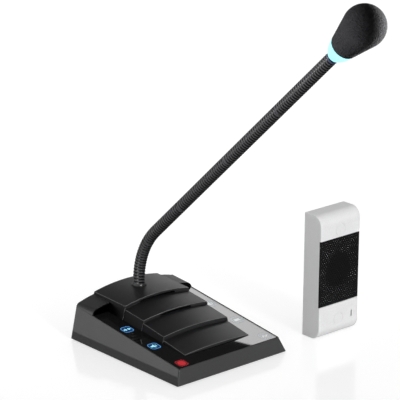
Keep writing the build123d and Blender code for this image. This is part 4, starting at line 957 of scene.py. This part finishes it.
def legend_outlines():
    """What each key shows: (part, outlines, finish) by key."""
    outside, inside = (9.3, 2.7), (8.1, 2.3)
    ring = [rounded_square(*outside), rounded_square(*inside)]
    field = [rounded_square(8.0, 2.3)]
    dash_count, dash_gap = 16, 0.024
    dashes = []
    for number in range(dash_count):
        share = (number / dash_count + dash_gap / 2, (number + 1) / dash_count - dash_gap / 2)
        outer, inner = [stretch_of(outline, *share) for outline in ring]
        dashes.append(outer + inner[::-1])
    arrows = [
        [(-0.3, 0), (-1.5, 2.0), (-1.9, 0.8), (-3.4, 0.8), (-3.4, -0.8), (-1.9, -0.8), (-1.5, -2.0)],
        [(0.4, 0), (1.6, 2.0), (2.0, 0.8), (3.3, 0.5), (3.3, -0.5), (2.0, -0.8), (1.6, -2.0)],
    ]
    horn = [
        [(-3.1, -1.0), (-1.5, -1.0), (0.7, -2.7), (0.7, 2.7), (-1.5, 1.0), (-3.1, 1.0)],
        [(1.5, -1.3), (2.4, -1.3), (2.4, 1.3), (1.5, 1.3)],
    ]
    bar = [[(-2.6, -1.6), (2.6, -1.6), (2.6, 1.6), (-2.6, 1.6)]]
    crests = [(-3, -0.6), (-1, 1.7), (0.8, -0.2), (2.4, 1.5)]
    troughs = [(3.0, 0.6), (0.8, -1.7), (-1, 0.2), (-2.5, -1.5)]
    wave = [crests + troughs]
    dot = [circle(3.3)]
    blue_key = [("ring", ring, legend_blue), ("field", field, legend_navy)]
    red_key = [("ring", dashes, legend_red), ("field", field, legend_ember)]
    return {
        ("rear", "left"): [*blue_key, ("sign", arrows, legend_cyan)],
        ("middle", "left"): [*blue_key, ("sign", horn, legend_cyan)],
        ("front", "left"): [*red_key, ("sign", dot, legend_red)],
        ("rear", "right"): [("ring", ring, legend_haze), ("sign", horn, legend_pale)],
        ("middle", "right"): [("ring", ring, legend_haze), ("sign", bar, legend_pale)],
        ("front", "right"): [("ring", dashes, legend_haze), ("sign", wave, legend_pale)],
    }


def make_key_caps():
    """The six keys, flush with the overlay, each on its flange."""
    cap, edge, depth = 5.63, 0.05, 3.0
    flange, flange_bottom = 6.3, 4.2
    profile = [(cap - edge, 0), (cap - 0.3 * edge, -0.3 * edge), (cap, -edge), (cap, -depth)]
    profile += [(flange, -depth), (flange, -flange_bottom)]
    pieces = []
    for (row, side), (x, y) in key_places.items():
        piece = lathe(f"key_cap_{row}_{side}", profile, plate_matrix(x, y, 0), key_black)
        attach(piece, f"key_{row}_{side}")
        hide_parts(f"key_{row}_{side}")
        pieces.append(piece)
    return pieces


def make_legends():
    """The lit rings and signs, each set on its own key's face, the sign over the field."""
    print_lift, print_thickness = 0.02, 0.03
    pieces = []
    for (row, side), parts in legend_outlines().items():
        x, y = key_places[row, side]
        for level, (label, outlines, material) in enumerate(parts):
            lift = print_lift * (2 if level == 2 else 1)
            name = f"key_{label}_{row}_{side}"
            piece = flat_shape(name, outlines, print_thickness, plate_matrix(x, y, lift), material)
            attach(piece, f"key_{row}_{side}")
            pieces.append(piece)
    return pieces


def make_key_surrounds():
    """The hairline ring of overlay round each key, and a grey tick mark beside the left keys."""
    outer, inner, thickness, around = 5.79, 5.65, 0.5, 96
    outlines = [circle(outer, around), circle(inner, around)]
    pieces = []
    for (row, side), (x, y) in key_places.items():
        place = plate_matrix(x, y, -thickness / 2)
        piece = flat_shape(f"key_surround_{row}_{side}", outlines, thickness, place, overlay_black)
        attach(piece, "console")
        pieces.append(piece)
    tick = [[(-2.3, -2.8), (-1.9, -3.1), (1.9, 2.8), (1.5, 3.1)]]
    tick_x, tick_y, tick_lift, tick_thickness = -47.5, -11.0, 0.005, 0.02
    place = plate_matrix(tick_x, tick_y, tick_lift)
    mark = flat_shape("overlay_tick", tick, tick_thickness, place, tick_grey)
    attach(mark, "console")
    return pieces


def make_grille():
    """The panel's perforated front, in its pocket."""
    side_play, end_play = 0.15, 0.3
    width, height = panel_width - side_play, grille_top - grille_bottom - end_play
    column, row, hole = 2.1, 1.82, 0.66
    side_margin, end_margin = 1.1, 1.0
    columns = int((width - 2 * side_margin) / column)
    rows = int((height - 2 * end_margin) / row)
    piece = grow(
        "grille_sheet",
        bpy.data.meshes.new("grille_blank"),
        make_perforation_tree(),
        Width=width * MM,
        Height=height * MM,
        Thickness=grille_thickness * MM,
        Columns=columns,
        Rows=rows,
        Column_Pitch=column * MM,
        Row_Pitch=row * MM,
        Hole=hole * MM,
        Finish=grille_black,
    )
    middle = Vector((panel_x, panel_front + grille_pocket, (grille_bottom + grille_top) / 2)) * MM
    piece.data.transform(Matrix.Translation(middle) @ Matrix.Rotation(pi / 2, 4, "X"))
    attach(piece, "console")
    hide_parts("panel_grille")


def make_screws():
    """The screws in the wells below and behind, of which only the shanks show."""
    tree = make_screw_tree()
    case_well, panel_well = 2.3, 1.1
    case_head, case_shank = (2.6, 1.2), (1.4, 7.0)  # radius and length
    back_head, back_shank = (1.9, 1.0), (1.0, 5.7)
    case_level = case_well - case_head[1] / 2
    back_level = panel_rear - panel_well + back_head[1] / 2
    case_spots = [(-20.0, -55.5), (20.0, -55.5), (-14.5, 56.0), (14.5, 56.0)]
    back_spots = [(panel_x + x, z) for x in (-16.6, 16.6) for z in (7.5, panel_height - 7.5)]
    face_down, face_back = Matrix.Rotation(pi, 4, "X"), Matrix.Rotation(-pi / 2, 4, "X")
    under = [Vector((x, y, case_level)) for x, y in case_spots]
    behind = [Vector((x, back_level, z)) for x, z in back_spots]
    for name, node, spots, head, shank, turn in (
        ("case_screw_set", "case_screws", under, case_head, case_shank, face_down),
        ("back_screw_set", "panel_back_screws", behind, back_head, back_shank, face_back),
    ):
        data = bpy.data.meshes.new(f"{name}_spots")
        data.from_pydata([turn.inverted() @ (spot * MM) for spot in spots], [], [])
        piece = grow(
            name,
            data,
            tree,
            Head_Radius=head[0] * MM,
            Head_Height=head[1] * MM,
            Shank_Radius=shank[0] * MM,
            Shank_Length=shank[1] * MM,
            Finish=screw_steel,
        )
        piece.data.transform(turn)
        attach(piece, "console")
        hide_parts(node)


# ---- the scene ----

make_world()
eye = make_camera()
make_floor()
overlay_corners = [(32.4, -76.5), (50.8, -90), (50.8, 75), (-26, 75), (-26, 30)]
cover_corners = [(51, -110), (150, -110), (150, 45), (51, 45)]
mirrors = make_reflection_card("overlay_card", eye, overlay_corners, strength=4.3, receivers=["key_overlay"])
make_reflection_card("cover_card", eye, cover_corners, strength=3.7, receivers=["speaker_cover"])
finish_nodes()
coils = make_gooseneck()
windscreen = make_windscreen()
housing = frame["nodes"]["panel_housing"]
neck_middle, panel_middle = (0.0, -0.12, 0.24), (0.09, -0.057, 0.08)
foam_right, foam_left = (0.0, -0.2, 0.3), (0.0, -0.2, 0.29)
make_lamp("key_lamp", (-0.16, -1.85, 0.52), (0.065, -0.06, 0.18), size=0.8, power=430.0, cone=15.0)
make_lamp("top_lamp", (-0.5, 0.1, 1.7), (0.0, 0.0, 0.0), size=1.6, power=0.6)
make_lamp("foam_lamp_right", (0.9, -0.45, 0.12), foam_right, size=0.5, power=370.0, receivers=[windscreen])
make_lamp("foam_lamp_left", (-0.83, 0.34, 0.2), foam_left, size=0.6, power=120.0, receivers=[windscreen])
make_lamp("neck_lamp", (-0.66, -0.26, 0.7), neck_middle, size=0.3, power=34.0, receivers=coils)
make_lamp("panel_lamp", (-0.25, -0.12, 0.42), panel_middle, size=0.3, power=0.45, receivers=[housing])
for piece in make_key_caps() + make_legends() + make_key_surrounds():
    if piece.name.endswith("_right"):
        mirrors.objects.link(piece)
make_grille()
make_screws()

bpy.context.scene.view_settings.view_transform = "Standard"
